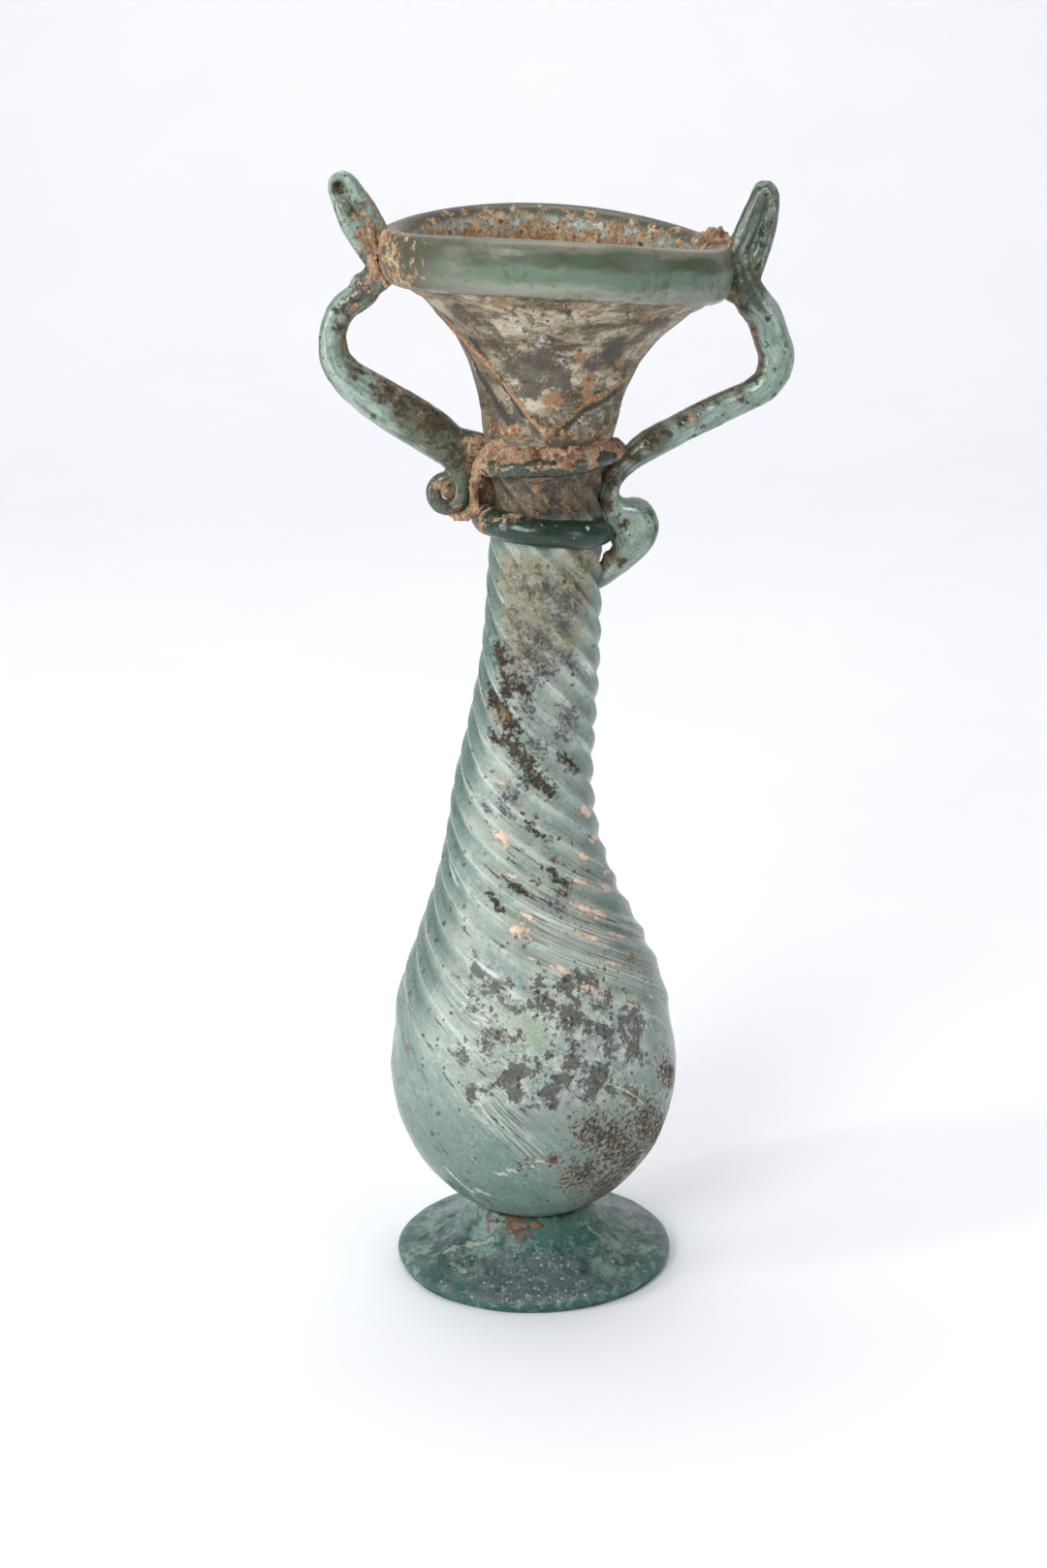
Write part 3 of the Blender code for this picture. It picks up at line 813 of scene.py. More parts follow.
@dataclass(frozen=True)
class WallFinish:
    """The vessel's weathered blue-green glass, with its milk, smoke, flakes, soil and ribs, and painted shade
    and highlights.
    """

    name: str = "weathered_wall_glass"
    pale: Colour = srgb(178, 188, 175)
    mid: Colour = srgb(146, 166, 156)
    milk: Colour = srgb(208, 214, 203)
    teal: Colour = srgb(82, 115, 107)
    deep: Colour = srgb(76, 104, 97)
    groove_shade_colour: Colour = srgb(52, 74, 68)
    tan: Colour = srgb(140, 132, 104)
    olive: Colour = srgb(90, 83, 58)
    slate: Colour = srgb(68, 68, 72)
    smoke: Colour = srgb(118, 116, 114)
    mottle: Colour = srgb(86, 79, 74)
    black: Colour = srgb(42, 37, 33)
    violet: Colour = srgb(138, 140, 150)
    lime: Colour = srgb(178, 194, 156)
    flake: Colour = srgb(48, 36, 26)
    rust: Colour = srgb(92, 60, 38)
    gold: Colour = srgb(116, 88, 36)
    peach: Colour = srgb(226, 200, 176)
    cream: Colour = srgb(212, 212, 192)
    painted_highlight: Colour = srgb(216, 234, 232)
    speck: Colour = srgb(58, 50, 34)
    tawny: Colour = srgb(158, 118, 82)
    murk: Colour = srgb(50, 45, 38)
    transmission: float = 0.16

    def make(self) -> bpy.types.Material:
        """Builds the material."""
        paint = Palette(self.name)
        ribs = paint.mark("rib_space", "Vector")
        fine = paint.noise(0.45, 6.0, 0.75)
        broken = paint.noise(1.5, 9.0, 0.7)
        lines = paint.noise(0.42, 4.0, 0.65, 0.0, paint.stretch(ribs, 1.0, 1.0, 0.07))
        colour = self.glass(paint, fine, lines)
        colour = self.collar(paint, colour)
        colour = self.funnel(paint, colour, fine)
        colour = self.weather(paint, colour, fine, broken, lines)
        colour, dull = self.dirt(paint, colour, fine, broken, ribs)

        rough = paint.blend(paint.step(broken, 0.42, 0.62), 0.1, 0.28)
        rough = paint.blend(paint.mark("funnel"), paint.blend(paint.mark("collar"), rough, 0.36), 0.5)
        rough = paint.blend(paint.mark("mottle"), rough, 0.42)
        rough = paint.blend(dull, rough, 0.88)
        passed = paint.blend(paint.most(dull, paint.mark("funnel")), self.transmission, 0.0)
        relief = paint.plus(paint.times(fine, 0.3), paint.times(lines, 0.5))
        relief = paint.plus(relief, paint.times(dull, 0.6))
        relief = paint.plus(relief, paint.times(broken, 0.4))
        smooth = paint.blend(paint.mark("collar"), 1.0, 0.25)
        paint.bump(paint.times(relief, smooth), 0.2, 0.75)
        return paint.finish(colour, rough, passed, 1.5, 0.4)

    def glass(self, paint: Palette, fine: Any, lines: Any) -> Socket:
        """The bare glass: its clouds, its grooves and the thin lines drawn along them, with painted shade at
        the sides, low down and in the grooves, and painted highlights on the rib crests.
        """
        groove = paint.mark("groove")
        streak = paint.mark("streak")
        side = paint.mark("teal")
        colour = paint.mix(paint.step(paint.noise(8.0, 5.0, 0.6), 0.36, 0.62), self.mid, self.pale)
        colour = paint.over(colour, paint.step(paint.noise(2.6, 8.0, 0.68), 0.47, 0.6), 0.5, self.milk)
        # Painted shade: the teal mark darkens the glass at its left and right sides and on the lower body.
        colour = paint.over(colour, side, 0.95, self.teal)
        colour = paint.over(colour, paint.step(fine, 0.52, 0.64), 0.4, self.teal)
        colour = paint.over(colour, paint.step(fine, 0.46, 0.36), 0.3, self.milk)
        # Painted shade in the grooves, deeper towards the sides.
        colour = paint.over(colour, groove, 0.26, self.deep)
        painted_groove_shade = paint.times(paint.step(groove, 0.55, 1.0), paint.blend(side, 0.3, 1.0))
        colour = paint.over(colour, painted_groove_shade, 0.5, self.groove_shade_colour)
        # Painted highlight: milky lines along the rib crests.
        crest = paint.times(paint.step(groove, 0.1, 0.01), paint.step(lines, 0.44, 0.56))
        colour = paint.over(colour, paint.times(crest, paint.mark("ribbed")), 0.6, self.milk)
        faint = paint.times(paint.blend(streak, 0.35, 1.0), paint.blend(side, 1.0, 0.3))
        light = paint.times(paint.step(lines, 0.53, 0.6), faint)
        dark = paint.times(paint.step(lines, 0.47, 0.4), faint)
        colour = paint.over(colour, light, 0.6, self.milk)
        colour = paint.over(colour, dark, 0.7, self.deep)
        hatch = paint.noise(
            0.34, 3.0, 0.6, 0.0, paint.stretch(paint.mark("rib_space", "Vector"), 1.0, 1.0, 0.06)
        )
        colour = paint.over(colour, paint.times(paint.step(hatch, 0.54, 0.58), streak), 0.8, srgb(74, 76, 62))
        return paint.over(colour, paint.times(paint.step(hatch, 0.46, 0.42), streak), 0.6, self.milk)

    def collar(self, paint: Palette, colour: Any) -> Socket:
        """The collar's smooth band, dark along its middle from painted reflection bands, with stains and
        specks.
        """
        along = paint.stretch(paint.place, 0.35, 0.35, 1.0)
        band = paint.plus(paint.mark("band"), paint.times(paint.noise(2.5, 4.0, 0.6, 0.0, along), 0.5))
        band = paint.less(band, 0.25)
        sway = paint.noise(2.2, 6.0, 0.65, 0.0, along)
        # Painted reflection bands: the tone follows the height over the rounded collar, pale below, dark
        # along the middle and paler on top.
        tone = paint.mix(paint.step(band, 0.08, 0.26), srgb(144, 148, 134), srgb(104, 124, 106))
        tone = paint.mix(paint.step(band, 0.42, 0.62), tone, srgb(72, 82, 62))
        tone = paint.mix(paint.step(band, 0.74, 0.92), tone, srgb(122, 120, 104))
        tone = paint.over(tone, paint.step(sway, 0.5, 0.64), 0.5, srgb(86, 102, 84))
        tone = paint.over(tone, paint.step(sway, 0.46, 0.34), 0.4, srgb(142, 150, 134))
        stain = paint.step(
            paint.noise(4.0, 5.0, 0.65, 0.2, paint.stretch(paint.place, 1.0, 1.0, 0.7)), 0.54, 0.66
        )
        tone = paint.over(tone, stain, 0.5, srgb(64, 66, 44))
        tone = paint.over(tone, paint.mark("specks"), 1.9, srgb(76, 76, 60))
        tone = paint.over(tone, paint.flecks(1.3, 0.35, 0.36), 0.6, srgb(104, 84, 54))
        return paint.mix(paint.mark("collar"), colour, tone)

    def funnel(self, paint: Palette, colour: Any, fine: Any) -> Socket:
        """The funnel's olive and tawny marbling over dark slate."""
        across = paint.stretch(paint.place, 0.5, 0.5, 1.2)
        gloom = paint.mark("gloom")
        tone = paint.mix(paint.step(paint.noise(3.4, 8.0, 0.68, 0.3, across), 0.4, 0.62), srgb(74, 65, 47),
                         srgb(178, 170, 146))
        tone = paint.over(tone, paint.step(paint.noise(2.6, 9.0, 0.7, 0.2), 0.52, 0.58), 0.7, self.murk)
        tone = paint.coat(
            tone, "slate", (1.8, 9.0, 0.76), (3.6, 0.5, 0.16), 0.88,
            paint.mix(paint.step(fine, 0.42, 0.58), self.murk, srgb(82, 77, 70))
        )
        tone = paint.coat(tone, "violet", (0.6, 8.0, 0.78), (4.4, 1.05, 0.15), 0.7, srgb(186, 188, 204))
        low = paint.step(paint.noise(2.2, 9.0, 0.72, 0.4), 0.44, 0.56)
        # Painted shade from the gloom mark, darkest in the gap under the soil band.
        tone = paint.over(tone, gloom, 0.9, paint.mix(low, srgb(28, 24, 19), srgb(86, 76, 55)))
        tone = paint.coat(
            tone, "tawny", (1.3, 9.0, 0.76), (3.2, 0.55, 0.1), 0.88,
            paint.mix(paint.step(fine, 0.4, 0.6), srgb(116, 80, 50), self.tawny)
        )
        tone = paint.over(tone, paint.step(paint.noise(1.3, 9.0, 0.76), 0.56, 0.6), 0.6, self.tawny)
        tone = paint.over(tone, paint.step(fine, 0.55, 0.63), 0.6, srgb(48, 42, 34))
        tone = paint.over(tone, paint.step(fine, 0.43, 0.36), 0.4, srgb(176, 168, 140))
        tone = paint.over(tone, paint.flecks(1.3, 0.45, 0.42), 0.7, srgb(42, 36, 28))
        return paint.mix(paint.mark("funnel"), colour, tone)

    def weather(self, paint: Palette, colour: Any, fine: Any, broken: Any, lines: Any) -> Socket:
        """The tan haze, smoke, lichen-like mottle and painted highlight glints."""
        colour = paint.coat(colour, "tan", (2.4, 7.0, 0.68), (1.3, 0.4, 0.3), 0.85, self.tan)
        colour = paint.coat(colour, "tan", (1.1, 8.0, 0.78), (5.0, 0.82, 0.14), 0.9, self.olive)
        colour = paint.coat(colour, "tan", (1.9, 8.0, 0.74), (3.4, 1.0, 0.2), 0.3, self.milk)
        haze = paint.times(paint.step(paint.mark("mottle"), 0.1, 0.7), paint.step(broken, 0.42, 0.58))
        colour = paint.over(colour, haze, 0.65, self.milk)
        body = paint.less(1.0, paint.mark("funnel"))
        violet = paint.ragged("violet", paint.noise(1.4, 8.0, 0.74), 2.6, 0.6, 0.3)
        colour = paint.over(colour, paint.times(violet, body), 0.45, self.violet)
        colour = paint.coat(colour, "lime", (1.4, 8.0, 0.74), (3.0, 0.6, 0.3), 0.4, self.lime)
        cluster = paint.noise(2.6, 4.0, 0.6)
        grain = paint.noise(0.8, 7.0, 0.8)
        both = paint.times(paint.plus(cluster, grain), 0.5)
        smoke = paint.ragged("smoke", both, 5.0, 0.5, 0.35)
        colour = paint.over(colour, smoke, 0.4, self.smoke)
        core = paint.ragged("smoke", grain, 6.0, 0.84, 0.14)
        colour = paint.over(colour, core, 0.88, self.slate)
        mottle = paint.ragged("mottle", both, 7.5, 0.72, 0.16)
        colour = paint.over(
            colour, mottle, 0.85, paint.mix(paint.step(fine, 0.42, 0.56), self.mottle, self.black)
        )
        dots = paint.times(paint.flecks(1.0, 0.6, 0.45), paint.step(paint.mark("mottle"), 0.1, 0.5))
        colour = paint.over(colour, dots, 0.8, self.black)
        # Painted highlights: pale cyan-white glints laid along the ribs.
        painted_highlight = paint.ragged("painted_highlight", lines, 2.6, 0.7, 0.3)
        return paint.over(colour, painted_highlight, 0.8, self.painted_highlight)

    def dirt(self, paint: Palette, colour: Any, fine: Any, broken: Any, ribs: Any) -> tuple[Socket, Socket]:
        """The flakes, rust, peach soil, film of soil and dark specks, the painted shade in the funnel's
        folds, and where the surface is dull.
        """
        brown = paint.mark("brown")
        colour = paint.over(colour, paint.ragged(brown, broken, 1.4, 0.35, 0.35), 0.55, srgb(142, 142, 126))
        scurf = paint.ragged(brown, paint.noise(0.7, 9.0, 0.8), 6.5, 0.8, 0.12)
        scurf = paint.most(scurf, paint.times(paint.flecks(0.8, 0.6, 0.45), brown))
        tone = paint.mix(paint.step(paint.noise(1.4, 4.0, 0.6), 0.46, 0.56), self.rust, self.flake)
        colour = paint.over(colour, scurf, 0.92, tone)
        rust = paint.ragged("rust", paint.noise(0.7, 9.0, 0.8), 5.0, 0.85, 0.08)
        colour = paint.over(colour, rust, 0.92, self.rust)
        flake = paint.ragged("flake", paint.noise(0.8, 9.0, 0.8), 5.0, 0.55, 0.08)
        tone = paint.mix(paint.step(fine, 0.54, 0.62), srgb(40, 30, 22), srgb(112, 84, 46))
        colour = paint.over(colour, flake, 0.96, tone)
        colour = paint.coat(colour, "vein", (0.8, 8.0, 0.76), (3.0, 0.66, 0.15), 0.75, self.cream)
        # Painted shade along the folds' sunk grooves.
        colour = paint.coat(colour, "fold", (0.9, 7.0, 0.72), (1.8, 0.4, 0.2), 0.88, srgb(44, 42, 36))
        crease = paint.ragged("crease", paint.noise(0.7, 8.0, 0.76), 3.2, 0.5, 0.12)
        tone = paint.mix(paint.step(fine, 0.42, 0.6), srgb(128, 92, 60), srgb(178, 142, 108))
        colour = paint.over(colour, crease, 0.92, tone)
        peach = paint.ragged("peach", paint.noise(0.8, 9.0, 0.78), 4.0, 0.6, 0.07)
        tone = paint.mix(paint.step(broken, 0.36, 0.54), srgb(204, 166, 138), self.peach)
        colour = paint.over(colour, peach, 0.95, tone)
        film = paint.ragged("soil", paint.noise(1.9, 9.0, 0.76), 4.0, 0.58, 0.14)
        tone = paint.mix(paint.step(broken, 0.42, 0.58), srgb(156, 114, 76), srgb(190, 170, 138))
        tone = paint.over(tone, paint.step(fine, 0.5, 0.6), 0.8, SoilFinish().deep)
        colour = paint.over(colour, film, 0.95, tone)
        zone = paint.blend(paint.mark("specks"), paint.step(paint.noise(4.0, 5.0, 0.65), 0.42, 0.54), 1.0)
        long = paint.stretch(ribs, 1.0, 1.0, 0.38)
        small = paint.most(paint.flecks(1.1, 0.4, 0.42), paint.flecks(1.4, 0.4, 0.36, long))
        large = paint.flecks(2.8, 0.35, 0.3, long)
        zone = paint.times(zone, paint.less(1.0, paint.mark("collar")))
        speck = paint.times(paint.most(small, large), zone)
        colour = paint.over(
            colour, speck, 0.9, paint.mix(paint.step(broken, 0.46, 0.56), self.speck, srgb(92, 76, 40))
        )
        colour = paint.coat(colour, "gold", (0.6, 8.0, 0.8), (4.6, 0.7, 0.1), 0.9, self.gold)
        dull = paint.most(paint.most(peach, film), paint.most(flake, scurf))
        return colour, paint.most(dull, paint.most(rust, crease))


@dataclass(frozen=True)
class RodFinish:
    """Drawn rod glass with specks, streaks drawn along it, and soil."""

    name: str
    pale: Colour
    deep: Colour
    streak: Colour
    transmission: float = 0.25
    speck: Colour = srgb(50, 40, 28)
    dusk: Colour = srgb(88, 92, 70)
    fleck_size: float = 1.3
    fleck_share: float = 0.45

    def make(self) -> bpy.types.Material:
        """Builds the material."""
        paint = Palette(self.name)
        rod = paint.mark("rod_space", "Vector")
        fine = paint.noise(0.45, 6.0, 0.75)
        broken = paint.noise(1.4, 9.0, 0.72)
        drawn = paint.stretch(rod, 1.0, 1.0, 0.14)
        lines = paint.noise(0.5, 4.0, 0.65, 0.0, drawn)
        long = paint.noise(1.6, 6.0, 0.65, 0.0, paint.stretch(rod, 1.0, 1.0, 0.3))
        colour = paint.mix(paint.step(long, 0.42, 0.58), self.pale, self.streak)
        colour = paint.over(colour, paint.step(lines, 0.54, 0.66), 0.34, self.deep)
        colour = paint.over(colour, paint.step(lines, 0.45, 0.34), 0.3, srgb(206, 216, 206))
        colour = paint.over(colour, paint.step(fine, 0.54, 0.66), 0.4, self.deep)
        dark = paint.ragged("dark", long, 1.8, 0.4, 0.25)
        colour = paint.over(colour, dark, 0.88, paint.mix(paint.step(fine, 0.44, 0.58), self.deep, self.dusk))
        colour = paint.coat(colour, "scurf", (2.0, 8.0, 0.74), (3.0, 0.5, 0.25), 0.6, srgb(104, 90, 62))
        scurf = paint.ragged("scurf", paint.noise(1.2, 9.0, 0.8), 5.6, 0.82, 0.1)
        colour = paint.over(colour, scurf, 0.9, self.speck)
        few = paint.step(paint.noise(2.6, 5.0, 0.65), 0.4, 0.5)
        speck = paint.times(paint.flecks(self.fleck_size, self.fleck_share, 0.42), few)
        colour = paint.over(colour, speck, 0.9, self.speck)
        soil = paint.ragged("soil", paint.noise(1.5, 9.0, 0.78), 5.0, 0.74, 0.12)
        tone = paint.mix(paint.step(broken, 0.4, 0.62), SoilFinish().warm, SoilFinish().pale)
        tone = paint.over(tone, paint.step(fine, 0.5, 0.62), 0.85, SoilFinish().deep)
        colour = paint.over(colour, soil, 0.95, tone)
        dull = paint.most(soil, paint.most(speck, scurf))
        rough = paint.blend(dull, paint.blend(paint.step(broken, 0.45, 0.65), 0.1, 0.24), 0.88)
        passed = paint.blend(dull, self.transmission, 0.0)
        relief = paint.plus(paint.times(fine, 0.15), paint.times(dull, 0.7))
        relief = paint.plus(relief, paint.times(lines, 0.1))
        paint.bump(relief, 0.22, 0.7)
        return paint.finish(colour, rough, passed, 1.5, 0.45)


@dataclass(frozen=True)
class FootFinish:
    """The foot's dark teal glass with glittering grey crusts, cream veins, soil in its crevice and painted
    shade under the body.
    """

    name: str = "crusted_foot_glass"
    teal: Colour = srgb(128, 156, 148)
    deep: Colour = srgb(30, 74, 68)
    slate: Colour = srgb(100, 110, 112)
    glitter: Colour = srgb(178, 180, 190)
    cream: Colour = srgb(182, 190, 172)
    soil: Colour = srgb(98, 66, 44)
    transmission: float = 0.22

    def make(self) -> bpy.types.Material:
        """Builds the material."""
        paint = Palette(self.name)
        fine = paint.noise(0.4, 6.0, 0.75)
        cloud = paint.noise(4.5, 8.0, 0.68)
        broken = paint.noise(1.5, 9.0, 0.7)
        colour = paint.mix(paint.step(cloud, 0.42, 0.58), srgb(48, 84, 78), self.teal)
        colour = paint.over(colour, paint.step(paint.noise(2.4, 9.0, 0.72), 0.52, 0.58), 0.7, self.deep)
        # Painted shade under the body and a darker outer edge, from the deep mark.
        deep = paint.ragged("deep", broken, 2.4, 0.5, 0.15)
        colour = paint.over(
            colour, deep, 0.9, paint.mix(paint.step(fine, 0.42, 0.58), self.deep, srgb(24, 104, 90))
        )
        crust = paint.ragged("crust", paint.noise(2.4, 9.0, 0.74), 3.0, 0.6, 0.1)
        sparkle = paint.flecks(0.6, 0.7, 0.46)
        tone = paint.mix(
            sparkle, paint.mix(paint.step(fine, 0.44, 0.56), self.slate, srgb(62, 78, 76)), self.glitter
        )
        colour = paint.over(colour, crust, 0.88, tone)
        pale = paint.step(paint.noise(1.8, 9.0, 0.76, 0.6), 0.54, 0.6)
        colour = paint.over(colour, pale, 0.5, srgb(150, 172, 164))
        vein = paint.ragged("vein", paint.noise(1.2, 9.0, 0.78), 4.0, 0.6, 0.2)
        colour = paint.over(
            colour, vein, 0.6, paint.mix(paint.step(fine, 0.44, 0.6), self.cream, srgb(140, 152, 138))
        )
        soil = paint.ragged("soil", paint.noise(1.3, 9.0, 0.74), 3.0, 0.62, 0.1)
        tone = paint.mix(paint.step(fine, 0.52, 0.66), self.soil, SoilFinish().warm)
        colour = paint.over(colour, soil, 0.95, tone)
        pits = paint.times(paint.flecks(1.0, 0.4, 0.36), paint.step(broken, 0.44, 0.54))
        colour = paint.over(colour, pits, 0.85, SoilFinish().deep)
        dull = paint.most(soil, paint.times(vein, 0.6))
        rough = paint.blend(dull, paint.blend(crust, 0.14, 0.36), 0.85)
        passed = paint.blend(paint.most(dull, paint.times(crust, 0.8)), self.transmission, 0.0)
        relief = paint.plus(paint.times(fine, 0.4), paint.times(broken, 0.8))
        relief = paint.plus(relief, paint.times(vein, 0.6))
        paint.bump(relief, 0.45, 0.9)
        return paint.finish(colour, rough, passed, 1.5, 0.45)


@dataclass(frozen=True)
class StudioFinish:
    """The plain pale paper under and behind the vessel."""

    name: str = "pale_paper"
    paper: Colour = srgb(238, 239, 242)

    def make(self) -> bpy.types.Material:
        """Builds the material."""
        paint = Palette(self.name)
        tone = paint.step(paint.noise(60.0, 3.0, 0.5), 0.3, 0.7)
        colour = paint.mix(tone, self.paper, tuple(0.985 * part for part in self.paper))
        return paint.finish(colour, 0.9)


@dataclass
class VesselWall:
    """The blown vessel: its ribbed wall, its folded collar and its hollow inside."""

    form: WallForm
    columns: int = 264
    row: float = 0.72
    inner_row: float = 2.2
    seed: int = 11

    peach: Knots = (
        (-108, 73.4, 1.2, 2.1), (-111, 81.5, 0.6, 0.8), (-30, 75.6, 1.0, 2.6), (-26, 71.2, 1.0, 1.8),
        (-41, 69.2, 0.9, 1.6), (-16, 65.7, 1.0, 1.6), (-25, 63.6, 0.9, 2.4), (-53, 62.3, 0.9, 2.4),
        (-42, 60.7, 0.9, 1.8), (-95, 60.0, 1.7, 2.1), (-55, 58.2, 0.6, 2.8), (-100, 67.7, 0.7, 1.0),
        (-88, 61.7, 0.5, 2.2), (-76, 54.6, 0.5, 2.4), (-62, 51.2, 0.6, 2.2), (-47, 54.0, 0.4, 2.6),
        (-90, 56.3, 0.4, 1.4), (-26, 47.0, 0.5, 1.2), (-50, 66.0, 0.5, 2.4), (-34, 57.0, 0.4, 2.4),
        (-43, 47.5, 0.3, 2.0), (60, 66.0, 1.2, 3.0), (95, 88.0, 1.0, 2.4), (140, 58.0, 1.6, 2.6),
    )
    flakes: Knots = (
        (-134, 100.3, 1.5, 3.0), (-127, 97.6, 0.9, 1.3), (-121, 95.2, 1.4, 1.9), (-108, 96.0, 1.1, 2.4),
        (-134, 93.4, 1.2, 2.8), (-110, 90.0, 1.6, 2.3), (-114, 88.0, 1.1, 2.0), (-103, 86.4, 1.3, 3.0),
        (-92, 84.6, 1.4, 3.0), (-81, 81.8, 1.4, 3.0), (-72, 80.4, 1.1, 2.4), (-86, 75.5, 0.7, 1.2),
        (-79, 73.9, 0.6, 2.4), (-112, 64.5, 0.7, 1.2), (-107, 63.0, 0.6, 1.1), (-92, 59.0, 0.7, 1.1),
        (70, 95.0, 1.2, 3.0), (120, 70.0, 1.0, 2.6), (-118, 92.4, 0.8, 1.4), (-52, 84.0, 0.7, 3.0),
        (-96, 66.0, 0.6, 2.6), (-64, 66.4, 0.7, 2.4), (-70, 68.0, 0.6, 2.0), (-128, 88.0, 0.7, 2.0),
    )
    rusts: Knots = (
        (-62, 84.6, 0.5, 1.8), (-48, 82.6, 0.6, 2.2), (-86, 75.6, 0.6, 1.0), (-74, 73.5, 0.5, 1.2),
        (-66, 69.6, 0.8, 1.8), (-84, 67.0, 0.9, 1.6), (-91, 65.4, 0.6, 1.2), (-56, 66.5, 0.5, 1.6),
        (-84, 25.2, 0.7, 1.4), (150, 60.0, 0.8, 2.0), (40, 78.0, 0.8, 2.0),
    )
    golds: Knots = (
        (-128, 52.4, 0.7, 0.9), (-131, 55.0, 0.4, 0.6), (-86, 55.7, 0.4, 0.5), (-150, 29.9, 1.0, 1.4),
        (-154, 39.3, 0.9, 1.6), (-120, 22.0, 0.9, 1.0), (-103, 45.0, 0.7, 1.0), (-30, 53.0, 1.6, 2.0),
        (-24, 50.0, 1.2, 1.6), (-63, 91.5, 0.5, 0.9), (-118, 91.5, 0.7, 1.8), (-140, 62.0, 0.5, 1.4),
    )
    browns: Knots = (
        (-67, 29.5, 3.6, 4.4), (-57, 27.0, 5.0, 6.0), (-43, 22.0, 5.0, 7.0), (-39, 28.0, 4.0, 6.0),
        (-26, 24.0, 5.0, 7.0), (-69, 21.7, 4.0, 4.0), (-50, 19.0, 5.0, 5.0), (-83, 25.6, 1.6, 1.4),
        (-94, 24.6, 1.4, 1.0), (-22, 34.0, 3.0, 5.0), (-48, 15.0, 5.0, 4.0), (60, 24.0, 6.0, 6.0),
    )
    smokes: Knots = (
        (-118, 106.5, 1.2, 2.6), (-113, 104.3, 1.6, 2.2), (-87, 110.4, 1.8, 2.2), (-67, 108.2, 2.4, 3.0),
        (-70, 105.5, 1.8, 2.6), (-95, 103.4, 2.2, 2.4), (-104, 101.5, 2.0, 2.6), (-96, 97.2, 2.6, 2.6),
        (-106, 95.6, 2.0, 2.6), (-54, 91.0, 2.2, 3.0), (-64, 88.4, 1.6, 2.8), (-97, 92.6, 1.8, 2.6),
        (-85, 87.2, 1.5, 3.2), (-101, 80.0, 2.4, 2.6), (-92, 81.4, 1.8, 2.0), (-106, 77.6, 1.2, 2.6),
        (-128, 102.0, 0.9, 1.6), (-115, 99.6, 1.4, 3.0), (-60, 99.5, 1.6, 2.8), (50, 104.0, 3.0, 4.0),
        (110, 84.0, 3.0, 5.0), (-122, 77.5, 0.8, 2.0), (-66, 64.2, 1.2, 2.2), (-72, 63.4, 1.2, 2.8),
        (-80, 99.0, 2.2, 2.4), (-108, 110.5, 1.4, 2.0),
    )
    slates: Knots = (
        (-103, 143.9, 2.6, 3.0), (-120, 144.2, 2.0, 3.0), (-88, 142.0, 2.4, 3.0), (-108, 140.6, 2.2, 2.4),
        (-56, 146.0, 2.0, 3.4), (-66, 143.4, 1.4, 2.0), (-141, 150.2, 1.2, 2.0), (-124, 148.8, 1.0, 2.0),
        (-145, 134.4, 1.4, 2.0), (-100, 134.6, 2.0, 2.2), (-47, 134.0, 1.6, 2.2), (-80, 134.8, 1.6, 2.0),
        (-150, 141.0, 0.9, 3.4), (-135, 137.0, 1.0, 3.0), (-117, 136.5, 1.0, 2.4), (-89, 152.4, 1.4, 1.0),
        (-26, 138.0, 1.5, 3.0), (70, 144.0, 5.0, 5.0), (140, 142.0, 5.0, 5.0),
    )
    tawnies: Knots = (
        (-76, 145.0, 1.0, 1.4), (-44, 143.4, 1.1, 1.2), (-67, 141.2, 1.3, 1.8), (-89, 138.6, 1.8, 1.6),
        (-62, 138.6, 1.3, 1.8), (-143, 139.0, 1.1, 1.9), (-74, 153.0, 3.0, 1.3), (-50, 152.0, 1.6, 1.4),
        (-30, 146.0, 1.0, 3.0), (-158, 148.0, 1.0, 3.0), (-114, 152.3, 1.3, 1.2), (100, 148.0, 4.0, 3.0),
    )
    mottles: Knots = (
        (-117, 54.3, 1.8, 2.3), (-108, 52.6, 2.2, 2.2), (-102, 51.0, 2.0, 2.4), (-117, 48.6, 1.8, 2.2),
        (-109, 48.0, 2.0, 2.4), (-103, 45.3, 2.6, 2.4), (-121, 42.4, 1.7, 2.2), (-99, 39.7, 2.8, 2.4),
        (-111, 36.3, 2.4, 2.0), (-98, 36.8, 2.4, 2.2), (-84, 49.0, 2.6, 2.8), (-86, 53.0, 1.6, 2.0),
        (-74, 47.0, 4.6, 4.6), (-62, 45.0, 4.6, 5.2), (-50, 42.0, 4.6, 5.4), (-42, 46.0, 3.0, 4.0),
        (-77, 40.0, 4.6, 4.6), (-66, 38.0, 4.6, 4.0), (-84, 37.0, 2.8, 2.8), (-72, 52.0, 2.8, 3.6),
        (-58, 51.0, 2.4, 4.2), (-48, 34.0, 2.6, 3.6), (-110, 43.0, 1.8, 1.8), (-92, 42.0, 2.0, 2.0),
        (40, 44.0, 7.0, 8.0), (110, 40.0, 6.0, 8.0), (165, 48.0, 4.0, 5.0),
    )
    streaks: Knots = (
        (-76, 63.7, 2.0, 5.0), (-62, 61.5, 2.4, 6.0), (-50, 59.5, 3.0, 6.0), (-37, 56.0, 3.5, 6.0),
        (-28, 51.0, 3.0, 5.0), (-18, 56.0, 3.0, 5.0), (-55, 54.5, 3.0, 6.0), (-85, 60.0, 2.5, 5.0),
        (-100, 33.0, 3.0, 6.0), (-118, 48.0, 2.0, 6.0), (-110, 33.0, 1.6, 5.0), (-96, 29.0, 1.6, 5.0),
        (-70, 54.0, 2.4, 5.0), (-42, 66.0, 2.0, 6.0), (80, 55.0, 4.0, 9.0),
    )
